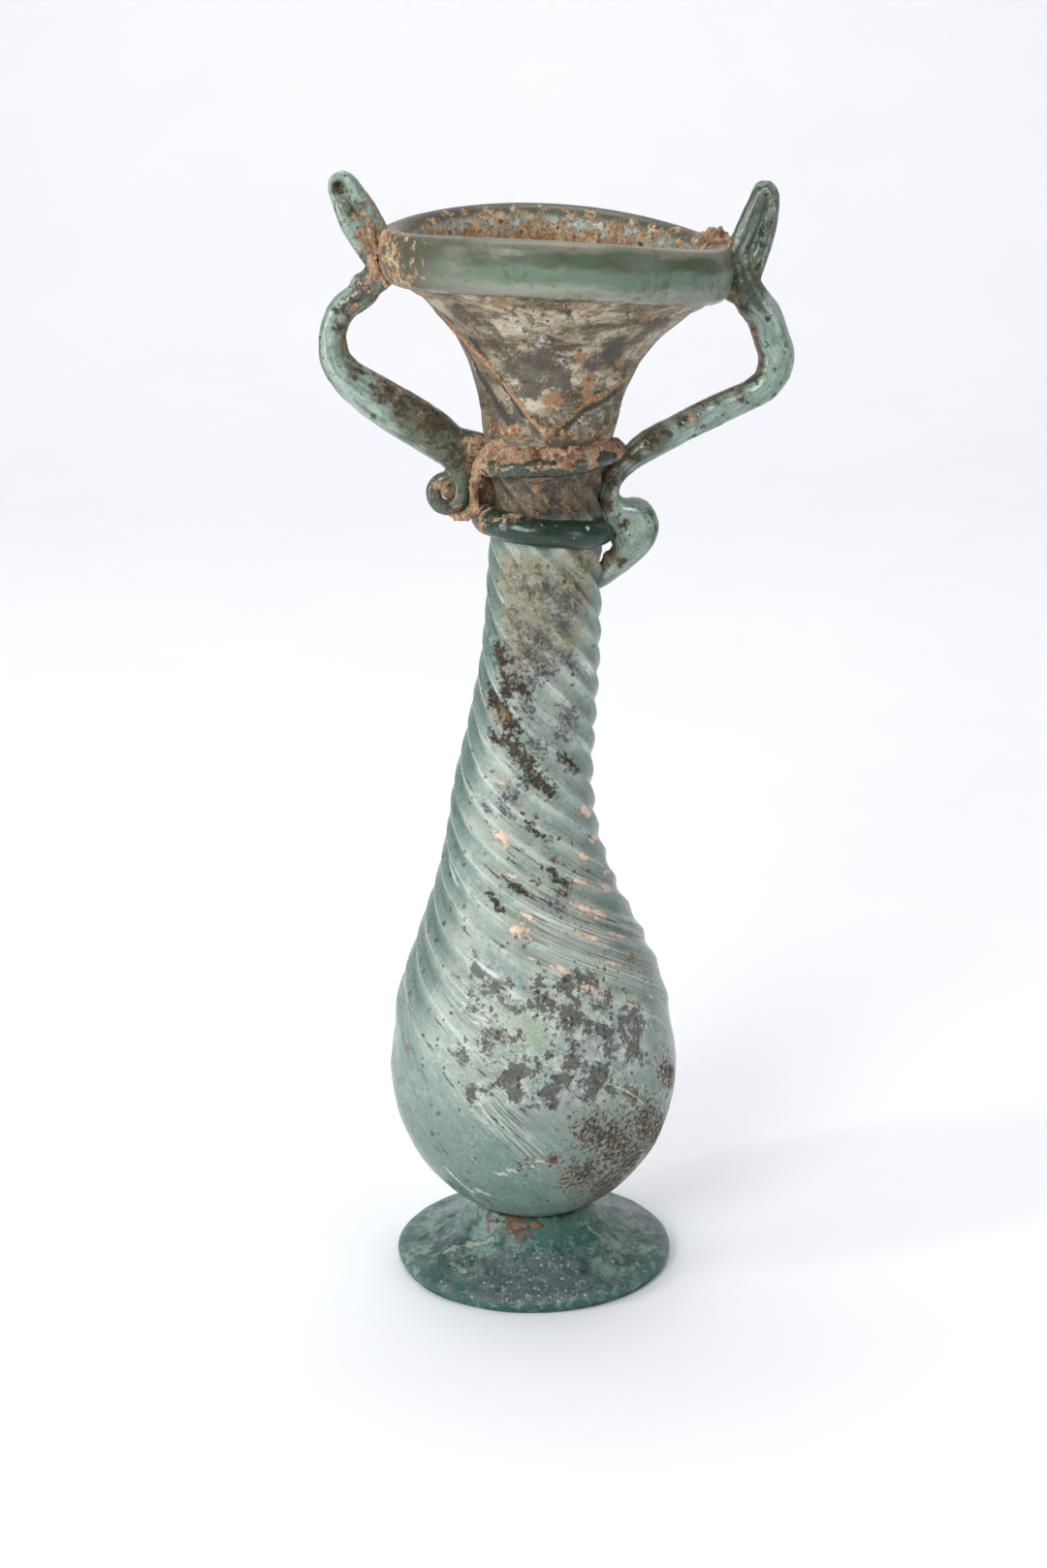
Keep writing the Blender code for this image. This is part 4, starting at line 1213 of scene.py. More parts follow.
    tans: Knots = (
        (-125, 112.0, 3.6, 4.0), (-104, 112.0, 3.6, 4.0), (-88, 108.0, 4.5, 5.0), (-60, 110.0, 3.6, 4.4),
        (-102, 102.0, 3.2, 4.0), (-75, 104.0, 3.6, 4.0), (-118, 105.0, 2.8, 4.0), (-45, 115.0, 3.6, 4.0),
        (-122, 98.0, 1.6, 3.0), (-130, 92.0, 1.4, 3.0), (60, 112.0, 6.0, 6.0), (150, 108.0, 6.0, 6.0),
    )
    violets: Knots = (
        (-93, 33.4, 2.6, 2.6), (-79, 34.8, 2.4, 2.6), (-86, 30.7, 2.6, 2.0), (-70, 43.0, 2.4, 2.6),
        (-88, 36.5, 1.6, 1.6), (-115, 68.8, 0.6, 1.6), (-109, 149.3, 1.6, 2.4), (-120, 150.0, 1.2, 1.8),
        (-87, 144.6, 1.2, 2.0), (-98, 147.6, 1.6, 2.4), (-121, 42.6, 0.8, 1.0),
    )
    limes: Knots = ((-90, 45.5, 2.4, 3.0), (-98, 47.5, 2.4, 2.4), (-77, 66.0, 0.8, 2.4))
    # Patches of painted highlight: angle, height, and reach across and along the ribs.
    painted_highlights: Knots = (
        (-130, 82.1, 0.45, 2.4), (-116, 77.5, 0.45, 2.8), (-112, 54.3, 0.6, 3.6), (-36, 98.0, 1.0, 3.0),
        (-32, 86.0, 1.0, 4.0), (-80, 62.0, 0.5, 2.5), (-140, 74.0, 0.4, 4.0), (-146, 88.0, 0.4, 4.0),
        (-150, 66.0, 0.5, 4.0),
    )
    veins: tuple[Stroke, ...] = (
        Stroke(((-107, 22.6), (-103, 22.9), (-98, 24.0), (-93, 24.1), (-87, 25.4)), 0.5),
        Stroke(((-134, 21.0), (-129, 18.6), (-124, 17.0), (-120, 18.4), (-113, 17.2)), 0.45),
        Stroke(((-128, 18.4), (-124, 14.6)), 0.35),
        Stroke(((-58.5, 36.8), (-50.5, 34.8), (-39, 30.8)), 0.22),
        Stroke(((-116, 46.9), (-110, 47.5)), 0.5),
    )
    # Sunk grooves on the funnel, darkened along them as painted shade.
    folds: tuple[Stroke, ...] = (
        Stroke(((-162, 146.0), (-155, 141.7), (-145, 139.6), (-135, 136.6), (-120, 134.0)), 0.75),
        Stroke(((-146, 147.0), (-136, 143.0), (-127, 139.8), (-112, 135.8)), 0.35),
        Stroke(((-84, 133.4), (-63, 136.6), (-34, 138.8)), 0.5),
    )
    creases: tuple[Stroke, ...] = (
        Stroke(
            ((-160, 147.6), (-149, 145.6), (-140, 143.8), (-120, 138.8), (-104, 135.4), (-93, 133.2)),
            0.55
        ),
        Stroke(((-88, 133.6), (-84, 134.5), (-63, 137.9), (-34, 140.3), (-20, 142.4)), 0.42),
        Stroke(((-166, 150.0), (-161, 147.0), (-158, 142.0)), 0.45),
    )

    def section(self) -> tuple[Array, Array, list[Face]]:
        """The wall's closed section.

        Returns:
            The radii, the heights and each row's face, from the collar's top over its outer side, down the
            outside, up the inside and back.
        """
        form = self.form
        low = form.funnel_top + form.collar_lift
        top = low + form.collar_height
        half = 0.5 * form.collar_thickness
        middle = form.collar_radius - half
        wide, tall = form.collar_radius, form.collar_height
        outer = (
            (middle, top), (middle + 0.55 * half, top - 0.14 * half), (middle + 0.9 * half, top - 0.6 * half),
            (wide, top - 1.4 * half), (wide, low + 0.45 * tall), (wide - 0.25, low + 0.2 * tall),
            (wide - 0.85, low + 0.02), (wide - 1.9, low - 0.75), (wide - 3.2, low - 0.85),
            (form.funnel_radius + 1.4, form.funnel_top + 0.7), (form.funnel_radius, form.funnel_top),
        )
        collar = MeshTools.even([(radius, 0.0, height) for radius, height in outer], 0.55)[:-1]
        high = np.arange(form.funnel_top, form.neck_top - 2.0, -0.42)
        heights = np.concatenate([high, np.arange(high[-1] - self.row, form.body_centre, -self.row)])
        turns = np.linspace(0.0, 0.5 * math.pi, 44)[:-1]
        bowl = form.body_centre - form.body_depth * np.sin(turns)
        outside = np.concatenate(
            [heights, bowl[bowl < heights[-1] - 0.2], [form.body_centre - form.body_depth]]
        )
        outside_radius = form.crest(outside)
        outside_radius[-1] = 0.05
        inner_depth = form.body_depth - 1.6 * form.wall
        rise = np.linspace(0.02, 0.5 * math.pi, 16)
        inner_low = form.body_centre - inner_depth * np.cos(rise)
        inner_low_radius = (form.body_radius - form.wall - 0.3) * np.sin(rise)
        inner_high = np.arange(form.body_centre + self.inner_row, form.funnel_top - 1.0, self.inner_row)
        inner_high_radius = form.crest(inner_high) - form.depth(inner_high) - form.wall
        mouth = MeshTools.even(
            (
                (single(form.crest, form.funnel_top - 1.0) - form.wall, 0.0, form.funnel_top - 0.6),
                (middle - half + 0.2, 0.0, low + 0.4), (middle - half - 0.05, 0.0, low + 3.0),
                (middle - 0.92 * half, 0.0, top - 0.75 * half),
                (middle - 0.5 * half, 0.0, top - 0.18 * half), (middle - 0.15 * half, 0.0, top - 0.01),
            ), 0.7,
        )
        radius = np.concatenate(
            [collar[:, 0], outside_radius, inner_low_radius, inner_high_radius, mouth[:, 0]]
        )
        height = np.concatenate([collar[:, 2], outside, inner_low, inner_high, mouth[:, 2]])
        faces = [Face.COLLAR] * len(collar) + [Face.OUTSIDE] * len(outside)
        faces += [Face.INSIDE] * (len(inner_low) + len(inner_high) + len(mouth))
        return radius, height, faces

    def groove(self, base: Array, height: Array) -> Array:
        """How far each point is from its rib's crest.

        Args:
            base: The angle that a rib keeps from top to bottom, in radians.
            height: The heights.

        Returns:
            0 on a crest and 1 in the middle of a groove.
        """
        grain = Grain(self.seed + 1)
        at = ring(6.0, base, 0.1 * height)
        sway = 0.11 * grain.at(at, 2.2, 2)
        phase = self.form.ribs * base / TURN + sway
        away = np.abs(phase - np.round(phase)) * 2.0
        return (0.5 - 0.5 * np.cos(math.pi * away)) ** 0.72

    def patches(self, patches: Knots, angle: Array, height: Array) -> Array:
        """How strongly a set of patches marks each point of the wall.

        Args:
            patches: Each one's angle, height, and reach across and along the ribs.
            angle: The points' angles in radians.
            height: Their heights.

        Returns:
            1 in a patch's middle and 0 away from them all.
        """
        result = np.zeros(len(angle))
        for at, middle, wide, long in patches:
            radius = single(self.form.crest, middle)
            turn = wrapped(angle - math.radians(at))
            x = radius * turn
            z = height - middle
            lead = -TURN * radius / single(self.form.rib_pitch, middle)
            length = math.hypot(lead, 1.0)
            along = (x * lead + z) / length
            across = (x - z * lead) / length
            level = np.exp(-((across / wide) ** 2 + (along / long) ** 2))
            result = np.maximum(result, level)
        return result

    def strokes(self, strokes: Iterable[Stroke], angle: Array, height: Array) -> Array:
        """How strongly a set of strokes marks each point of the wall.

        Args:
            strokes: The strokes.
            angle: The points' angles in radians.
            height: Their heights.

        Returns:
            1 on a stroke and 0 away from them all.
        """
        result = np.zeros(len(angle))
        for stroke in strokes:
            middle = float(np.mean([point[1] for point in stroke.points]))
            radius = single(self.form.crest, middle)
            turn = wrapped(angle - math.radians(stroke.points[0][0]))
            x = radius * turn
            for (a, low), (b, high) in zip(stroke.points, stroke.points[1:]):
                start = radius * math.radians(a - stroke.points[0][0])
                run = radius * math.radians(b - a)
                rise = high - low
                share = ((x - start) * run + (height - low) * rise) / (run * run + rise * rise)
                share = np.clip(share, 0.0, 1.0)
                away = np.hypot(x - start - share * run, height - low - share * rise)
                result = np.maximum(result, hill(away, 0.0, stroke.width))
        return result

    def build(self) -> bpy.types.Object:
        """Builds the vessel's mesh and marks its weathering on it.

        Returns:
            The vessel.
        """
        form = self.form
        radius, height, faces = self.section()
        rows = len(radius)
        wide, tall, face = (np.repeat(part, self.columns) for part in (radius, height, np.array(faces)))
        base = np.tile(np.linspace(0.0, TURN, self.columns, endpoint=False), rows)
        on_wall = face == Face.OUTSIDE
        within = face == Face.INSIDE
        shown = np.where(on_wall, 1.0, 0.0)
        angle = base + np.where(on_wall, form.twist(tall), 0.0)
        carved = self.groove(base, tall)
        depth = form.depth(tall) * shown
        grain = Grain(self.seed)
        flat = ring(wide, angle, tall)
        ripple = 0.16 * grain.at(flat, 7.0, 2) + 0.05 * grain.at(flat, 1.6, 2)
        ripple *= np.where(within, 0.5, 1.0) * ease(0.0, 4.0, wide)
        swell = 0.86 + 0.2 * grain.at(ring(4.0, base, 0.04 * tall), 1.3)
        crease = self.strokes(self.creases, angle, tall) * shown
        fold = self.strokes(self.folds, angle, tall) * shown
        peach = self.patches(self.peach, angle, tall) * shown
        relief = 0.32 * crease - 0.3 * fold + 0.1 * ease(0.4, 0.7, peach)
        wide = wide - depth * carved * swell + ripple + relief - 0.1
        points = form.place(wide, angle, tall)
        obj = MeshTools.build("blown_wall", points, MeshTools.wrap(rows, self.columns, True))
        self.dress(obj, base, angle, tall, carved, depth, on_wall, within)
        return obj

    def dress(
        self, obj: bpy.types.Object, base: Array, angle: Array, height: Array,
        carved: Array, depth: Array, on_wall: Array, within: Array,
    ) -> None:
        """Marks the weathering, painted shade and painted highlights on the vessel and gives it its glass.

        Args:
            obj: The vessel.
            base: The angle each point's rib keeps.
            angle: Each point's own angle.
            height: Each point's height.
            carved: 0 on a crest, 1 in a groove.
            depth: How deep the grooves are there.
            on_wall: Whether a point is on the outside.
            within: Whether it is on the inside.
        """
        form = self.form
        shown = np.where(on_wall, 1.0, 0.0)
        folded = np.where(~on_wall & ~within, 1.0, 0.0)
        turned = wrapped(angle)
        layers: dict[str, Knots] = {
            "peach": self.peach, "flake": self.flakes, "rust": self.rusts, "smoke": self.smokes,
            "mottle": self.mottles, "streak": self.streaks, "tan": self.tans, "violet": self.violets,
            "lime": self.limes, "painted_highlight": self.painted_highlights, "slate": self.slates, "tawny": self.tawnies,
            "gold": self.golds, "brown": self.browns,
        }
        for name, patches in layers.items():
            MeshTools.mark(obj, name, shown * self.patches(patches, angle, height))
        for name, strokes in {"vein": self.veins, "crease": self.creases, "fold": self.folds}.items():
            MeshTools.mark(obj, name, shown * self.strokes(strokes, angle, height))
        ribbed = ease(0.05, 0.7, depth)
        MeshTools.mark(obj, "groove", carved * ribbed)
        MeshTools.mark(obj, "ribbed", ribbed)
        # The teal mark is painted shade: darker towards the left and right sides, most on the left and least
        # at the back, and on the lower body.
        side = ease(0.6, 0.97, np.abs(np.cos(turned)))
        teal = np.where(np.cos(turned) < 0.0, 0.85, 0.62) * side * np.where(turned > 0, 0.6, 1.0)
        low = ease(50.0, 24.0, height) * (0.82 + 0.18 * ease(-0.2, -0.9, np.cos(turned)))
        MeshTools.mark(obj, "teal", np.clip(np.maximum(teal, low) * shown, 0.0, 1.0))
        lift = form.funnel_top + form.collar_lift
        MeshTools.mark(obj, "band", np.clip((height - lift) / form.collar_height, 0.0, 1.0))
        rounded = ease(153.8, 154.5, height)
        MeshTools.mark(obj, "collar", np.maximum(folded * rounded, within * ease(159.4, 160.6, height)))
        MeshTools.mark(
            obj, "funnel", np.maximum(shown * ease(119.5, 121.5, height), folded * (1.0 - rounded))
        )
        left = ease(-0.62, -0.95, np.cos(turned))
        # The gloom mark: painted shade in the gap under the soil band, fading up into the funnel, and darker
        # along the funnel's left side below its top.
        edge = ease(-0.45, -0.8, np.cos(turned)) * ease(153.0, 147.0, height)
        low = np.maximum(ease(136.0, 126.0, height), 0.75 * edge)
        MeshTools.mark(obj, "gloom", shown * low * ease(118.5, 121.5, height))
        mouth = within * (0.58 + 0.42 * ease(159.4, 156.4, height)) * ease(162.4, 160.4, height)
        deep = within * ease(150.0, 140.0, height)
        soil = np.maximum(0.66 * left * folded, mouth - 0.5 * deep)
        soil = np.maximum(soil, 0.55 * shown * ease(131.5, 133.0, height) * ease(136.0, 133.5, height))
        soil = np.maximum(soil, 0.45 * folded * (1.0 - rounded))
        soil = np.maximum(soil, 0.35 * shown * ease(12.2, 10.5, height))
        MeshTools.mark(obj, "soil", soil)
        specks = 0.25 * shown + 0.8 * within * ease(146.0, 156.0, height) + 0.4 * folded * left
        specks += 0.3 * folded * ease(-0.15, -0.75, np.cos(turned))
        specks = np.maximum(specks, 0.7 * ease(0.75, 1.0, -np.cos(turned)) * shown)
        MeshTools.mark(obj, "specks", np.clip(specks, 0.0, 1.0))
        MeshTools.mark(obj, "rib_space", ring(22.0, base, height))
        obj.data.materials.append(WallFinish().make())
        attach(obj, "root")
        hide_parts("blown_vessel")


@dataclass
class PadFoot:
    """The applied foot: a thick uneven disc that rises to a seat under the body."""

    form: WallForm
    radius: float = 22.1
    edge: float = 2.4
    seat_radius: float = 9.4
    columns: int = 240
    seed: int = 23
    folds: tuple[tuple[float, float, float], ...] = (
        (-150, 9, 0.45), (-38, 8, 0.4), (-112, 12, -0.3), (-70, 14, -0.25), (25, 10, 0.3),
    )
    veins: tuple[tuple[Any, ...], ...] = (
        ((-153, 18.0), (-141, 13.6), 0.55), ((-141, 13.6), (-124, 11.4), 0.6),
        ((-38, 11.2), (-35, 14.4), 0.5), ((-35, 14.4), (-43, 16.8), 0.4),
        ((-140, 17.0), (-128, 17.4), 0.6), ((-22, 17.0), (-34, 19.6), 0.35),
    )

    def section(self) -> Array:
        """The foot's section as (radius, height) rows from the seat's middle to the underside's middle."""
        form = self.form
        seat = []
        for share in (0.02, 0.35, 0.7, 1.0):
            radius = share * self.seat_radius
            bowl = form.body_depth * math.sqrt(1 - (radius / 22.7) ** 2)
            seat.append((radius, 0.0, form.body_centre - bowl - 0.1))
        top = seat[-1][2]
        slope = self.radius - self.seat_radius
        rise = top - self.edge
        half = 0.5 * self.edge
        rest = [
            (self.seat_radius + 0.10 * slope, 0.0, self.edge + 0.70 * rise),
            (self.seat_radius + 0.26 * slope, 0.0, self.edge + 0.44 * rise),
            (self.seat_radius + 0.48 * slope, 0.0, self.edge + 0.25 * rise),
            (self.seat_radius + 0.75 * slope, 0.0, self.edge + 0.10 * rise),
            (self.radius - 0.9 * half, 0.0, self.edge + 0.10 * half),
            (self.radius - 0.15, 0.0, 0.76 * self.edge), (self.radius - 0.1, 0.0, 0.5 * self.edge),
            (self.radius - 0.5 * half, 0.0, 0.2 * self.edge), (self.radius - 1.1 * half, 0.0, 0.02),
            (0.6 * self.radius, 0.0, 0.02), (0.05, 0.0, 0.02),
        ]
        return MeshTools.even(seat + rest, 0.5)

    def build(self) -> bpy.types.Object:
        """Builds the foot, uneven as a pressed gather of glass is.

        Returns:
            The foot.
        """
        rows = self.section()
        turn = np.linspace(0.0, TURN, self.columns, endpoint=False)
        radius, height = (np.repeat(rows[:, k], self.columns) for k in (0, 2))
        angle = np.tile(turn, len(rows))
        grain = Grain(self.seed)
        flat = ring(radius, angle, height)
        upper = ease(0.6, 2.2, height)
        outer = ease(6.0, 11.0, radius)
        lump = 0.55 * grain.at(flat, 6.0, 3) + 0.18 * grain.at(flat, 1.5, 3)
        height = height + upper * outer * (lump - 0.25) * ease(22.6, 19.0, radius)
        radius = radius - outer * 0.35 * (0.5 + 0.5 * grain.at(flat, 8.0, 2))
        height = np.maximum(height + upper * outer * self.tool_marks(angle, radius), 0.0)
        points = ring(radius, angle, height)
        faces = MeshTools.wrap(len(rows), self.columns, False)
        faces += [tuple(reversed(range(self.columns))), tuple(range(len(points) - self.columns, len(points)))]
        obj = MeshTools.build("pressed_foot", points, faces)
        self.dress(obj, points)
        return obj

    def tool_marks(self, angle: Array, radius: Array) -> Array:
        """The shallow folds that run outward over the foot.

        Args:
            angle: The points' angles.
            radius: Their distances from the middle.

        Returns:
            How far they stand up or down.
        """
        marks = np.zeros(len(angle))
        for turn, width, depth in self.folds:
            away = wrapped(angle - math.radians(turn))
            sway = math.radians(width)
            marks += depth * hill(away, 0.0, sway) * ease(9.0, 12.0, radius) * ease(20.0, 15.0, radius)
        return marks

    def dress(self, obj: bpy.types.Object, points: Array) -> None:
        """Marks crust, veins, soil and painted shade on the foot and gives it its glass.

        Args:
            obj: The foot.
            points: Its points.
        """
        x, y, z = points.T
        radius = np.hypot(x, y)
        turn = np.degrees(np.arctan2(y, x))
        front = hill(turn, -92.0, 48.0) * ease(10.5, 13.5, radius)
        back = 0.6 * hill(turn, 70.0, 60.0) * ease(12.0, 16.0, radius)
        top = ease(1.2, 2.2, z)
        MeshTools.mark(obj, "crust", np.maximum(front, back) * top)
        # The deep mark: painted shade under the body near the seat, most at the front right, and darker
        # towards the outer edge.
        near = ease(15.0, 11.5, radius) * hill(turn, -66.0, 46.0)
        far = 0.6 * ease(17.0, 21.0, radius)
        MeshTools.mark(obj, "deep", np.maximum(0.95 * near, far))
        vein = np.zeros(len(x))
        for *ends, wide in self.veins:
            (ax, ay), (bx, by) = (
                (out * math.cos(math.radians(at)), out * math.sin(math.radians(at))) for at, out in ends
            )
            run, rise = bx - ax, by - ay
            share = np.clip(((x - ax) * run + (y - ay) * rise) / (run * run + rise * rise), 0.0, 1.0)
            away = np.hypot(x - ax - share * run, y - ay - share * rise)
            vein = np.maximum(vein, hill(away, 0.0, wide))
        MeshTools.mark(obj, "vein", vein * top)
        patch = hill(turn, -106.0, 12.0) + 0.6 * hill(turn, -132.0, 8.0)
        soil = ease(12.2, 10.2, radius) * top * (0.3 + 0.5 * np.clip(patch, 0.0, 1.0))
        MeshTools.mark(obj, "soil", soil)
        obj.data.materials.append(FootFinish().make())
        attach(obj, "root")
        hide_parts("pad_foot")


@dataclass
class NeckThread:
    """A glass rod wound once round the neck, its two ends laid past each other."""

    name: str
    node: str
    slot: str
    form: WallForm
    height: float
    thickness: float
    stand: float
    shift: float
    tilt: float
    start: float
    unevenness: float
    finish: RodFinish
    flare: float = 0.0
    soil: float = 1.0
    seed: int = 31

    def route(self) -> list[Knot]:
        """The rod's centre line as (x, y, z, radius) knots."""
        centre = single(self.form.crest, self.height) + self.stand
        middle = single(self.form.lean, self.height) + self.shift
        grain = Grain(self.seed)
        knots = []
        for i in range(41):
            share = i / 40
            turn = math.radians(self.start) - share * TURN
            where = np.array([[3.0 * math.cos(turn), 3.0 * math.sin(turn), 2.0 * share]])
            sway = self.unevenness * float(grain.at(where, 1.1, 2)[0])
            swell = 1.0 + 0.1 * float(grain.at(where + 9.0, 1.4, 2)[0])
            out = centre + self.flare * max(0.0, 1.0 - share / 0.08) ** 2
            x = out * math.cos(turn)
            y = out * math.sin(turn)
            z = self.height + math.tan(math.radians(self.tilt)) * x + sway
            end = min(1.0, 0.8 + 4.0 * min(share, 1.0 - share))
            knots.append((x + middle, y, z, 0.96 * self.thickness * swell * end))
        return knots

    def build(self) -> bpy.types.Object:
        """Builds and dresses the rod.

        Returns:
            The rod.
        """
        rod = MeshTools.rod(self.name + "_rod", self.route(), 0.45)
        obj = MeshTools.fuse(self.name, [rod], 0.26, 4)
        points = MeshTools.points_of(obj)
        grain = Grain(self.seed + 3)
        bumps = 0.07 * grain.at(points, 1.8, 3)
        MeshTools.set_points(obj, points + MeshTools.normals_of(obj) * bumps[:, None])
        self.dress(obj, points)
        return obj

    def dress(self, obj: bpy.types.Object, points: Array) -> None:
        """Marks soil, darker glass and painted shade on the rod and gives it its glass.

        Args:
            obj: The rod.
            points: Its points.
        """
        x, y, z = points.T
        middle = single(self.form.lean, self.height) + self.shift
        turn = np.degrees(np.arctan2(y, x - middle))
        left = hill(turn, -158.0, 22.0)
        upper = ease(0.2, 0.9, (z - self.height) / self.thickness)
        tan = hill(turn, -118.0, 20.0) * upper
        back = 0.6 * ease(0.0, 6.0, y)
        top = 0.4 * upper
        soil = np.maximum(np.maximum(left, tan), np.maximum(back, top))
        MeshTools.mark(obj, "soil", np.clip(self.soil * soil, 0.0, 1.0))
        # Darker glass all round, and painted shade rising towards the front right, away from the light.
        MeshTools.mark(obj, "dark", 0.4 + 0.5 * hill(turn, -70.0, 50.0))
        MeshTools.mark(obj, "scurf", np.full(len(x), 0.12))
        place, _ = MeshTools.rod_space(points, [self.route()])
        MeshTools.mark(obj, "rod_space", place)
        obj.data.materials.append(self.finish.make())
        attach(obj, "root")
        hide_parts(self.node)


@dataclass
class SoilBand:
    """The torn sheet of soil that lies over the upper thread and bares it at a few slits."""

    form: WallForm
    thread_height: float = THREAD_HEIGHT
    thread_tilt: float = THREAD_TILT
    columns: int = 480
    rows: int = 30
    seed: int = 71
    slits: Knots = (
        (-118, -0.1, 12, 0.9), (-36, 0.0, 16, 1.1), (-86, -0.7, 9, 0.5), (70, 0.2, 60, 1.6),
        (-64, 0.3, 6, 0.6), (-100, 1.6, 5, 0.4), (-142, 0.4, 6, 0.8), (-58, 2.2, 8, 0.35),
    )

    def thread(self, turn: Array) -> Array:
        """The thread's height round the neck."""
        return self.thread_height + math.tan(math.radians(self.thread_tilt)) * 10.4 * np.cos(turn)

    def bare(self, turn: Array, height: Array) -> Array:
        """How far the sheet is worn down to the thread: 1 in a slit and 0 away from it."""
        result = np.zeros(len(turn))
        for angle, lift, wide, tall in self.slits:
            away = wrapped(turn - math.radians(angle))
            across = away / math.radians(wide)
            up = (height - self.thread(turn) - lift) / tall
            result = np.maximum(result, np.exp(-(across**4) - up * up))
        return result

    def build(self) -> bpy.types.Object:
        """Builds and dresses the sheet.

        Returns:
            The sheet.
        """
        grain = Grain(self.seed)
        turn = np.linspace(-math.pi, math.pi, self.columns, endpoint=False)
        flat = ring(10.0, turn, 0.0)
        front = np.exp(-(((np.degrees(turn) + 95.0) / 70.0) ** 4))
        left = hill(np.degrees(turn), -142.0, 22.0)
        middle = self.thread(turn)
        top = middle + 1.7 + 1.1 * front + 1.1 * left + 1.5 * grain.at(flat, 2.6, 4, 0.65)
        low = middle - 0.7 - 0.8 * front + 0.7 * grain.at(flat + 40.0, 2.2, 4, 0.65)
        low = low - 0.6 * hill(np.degrees(turn), -97.0, 15.0)
        rows = []
        for share in np.linspace(0.0, 1.0, self.rows):
            rows.append(self.outer(turn, low + (top - low) * share, share, grain))
        for share in (0.9, 0.55, 0.2, 0.05):
            height = low + (top - low) * share
            rows.append(self.form.place(self.form.crest(height) - 0.45, turn, height))
        points = np.concatenate(rows)
        obj = MeshTools.build("neck_soil_band", points, MeshTools.wrap(len(rows), self.columns, True))
        obj.data.materials.append(SoilFinish(name="neck_band_soil", darkness=0.75).make())
        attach(obj, "root")
        return obj

    def outer(self, turn: Array, height: Array, share: float, grain: Grain) -> Array:
        """One row of the sheet's outer side.

        Args:
            turn: The angles.
            height: The heights.
            share: 0 at the lower edge and 1 at the upper one.
            grain: The noise that roughens it.

        Returns:
            The row's points.
        """
        up = height - self.thread(turn)
        drape = 0.25 + 2.05 * hill(up, 0.0, 1.7)
        flat = ring(10.0, turn, height)
        rough = 0.75 * grain.at(flat, 2.2, 4, 0.62) + 0.3 * grain.at(flat, 0.7, 2)
        edge = float(ease(1.0, 0.92, np.array([share]))[0])
        lip = 0.55 + 0.45 * float(ease(0.0, 0.12, np.array([share]))[0])
        wide = drape * lip + rough * (0.4 + 0.6 * edge)
        wide = wide - 1.15 * self.bare(turn, height) * (drape > 0.6)
        wide = wide * edge - 0.25 * (1.0 - edge)
        return self.form.place(self.form.crest(height) + wide, turn, height)


@dataclass
class Handle:
    """A handle: several glass strands melted into one, with its soil, dark glass and painted shade."""

    side: Side
    node: str
    slot: str
    strands: tuple[Strand, ...]
    finish: RodFinish
    soil: tuple[Spot, ...]
    dark: tuple[Spot, ...]
    scurf: tuple[Spot, ...]
    opening: tuple[float, float, float]
    dents: tuple[Spot, ...] = ()
    painted_inward_shade: float = 0.0
    seed: int = 41

    def build(self) -> bpy.types.Object:
        """Builds and dresses the handle.

        Returns:
            The handle.
        """
        name = self.side.name.lower() + "_rod_handle"
        rods = [MeshTools.rod(f"{name}_{i}", strand.knots, 0.5) for i, strand in enumerate(self.strands)]
        obj = MeshTools.fuse(name, rods, 0.25, 4)
        points = MeshTools.points_of(obj)
        normals = MeshTools.normals_of(obj)
        grain = Grain(self.seed)
        bumps = 0.1 * grain.at(points, 4.0, 2) + 0.05 * grain.at(points, 1.1, 2)
        points = points + normals * bumps[:, None]
        points[:, 1] += self.reach(points, self.dents) * ease(0.5, -0.5, points[:, 1])
        MeshTools.set_points(obj, points)
        self.dress(obj, points, normals)
        return obj

    def dress(self, obj: bpy.types.Object, points: Array, normals: Array) -> None:
        """Marks soil, dark glass, painted shade and scurf on the handle and gives it its glass.

        Args:
            obj: The handle.
            points: Its points.
            normals: Their normals.
        """
        place, owner = MeshTools.rod_space(points, [strand.knots for strand in self.strands])
        MeshTools.mark(obj, "rod_space", place)
        inward = self.facing(points, normals)
        own = {
            key: np.array([getattr(strand, key) for strand in self.strands])[owner]
            for key in ("soil", "dark", "scurf")
        }
        soil = np.maximum(self.reach(points, self.soil), np.maximum(0.62 * inward, own["soil"]))
        MeshTools.mark(obj, "soil", soil)
        # Painted shade on the side that faces the handle's opening, where the handle has it.
        dark = np.maximum(self.reach(points, self.dark), np.maximum(self.painted_inward_shade * inward, own["dark"]))
        # Painted shade in the dents' pits.
        MeshTools.mark(obj, "dark", np.maximum(dark, self.reach(points, self.dents)))
        scurf = np.maximum(self.reach(points, self.scurf), np.maximum(own["scurf"], 0.25 + 0.35 * inward))
        MeshTools.mark(obj, "scurf", np.maximum(scurf, 1.2 * self.reach(points, self.dents)))
        obj.data.materials.append(self.finish.make())
        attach(obj, "root")
        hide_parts(self.node)

    def facing(self, points: Array, normals: Array) -> Array:
        """How squarely each point faces the middle of the handle's opening.

        Args:
            points: The points.
            normals: Their normals.

        Returns:
            1 where it faces the middle and 0 where it doesn't.
        """
        middle = np.array(self.opening)
        away = np.sum(unit(middle - points) * normals, axis=1)
        return ease(0.2, 0.9, away) * ease(134.0, 138.0, points[:, 2])

    @staticmethod
    def reach(points: Array, spots: Sequence[Spot]) -> Array:
        """How strongly spots mark each point.

        Args:
            points: The points.
            spots: The spots.

        Returns:
            A spot's own level in its middle and 0 away from them all.
        """
        result = np.zeros(len(points))
        for spot in spots:
            away = np.hypot(points[:, 0] - spot.x, points[:, 2] - spot.z)
            result = np.maximum(result, spot.level * hill(away, 0.0, spot.reach))
        return result


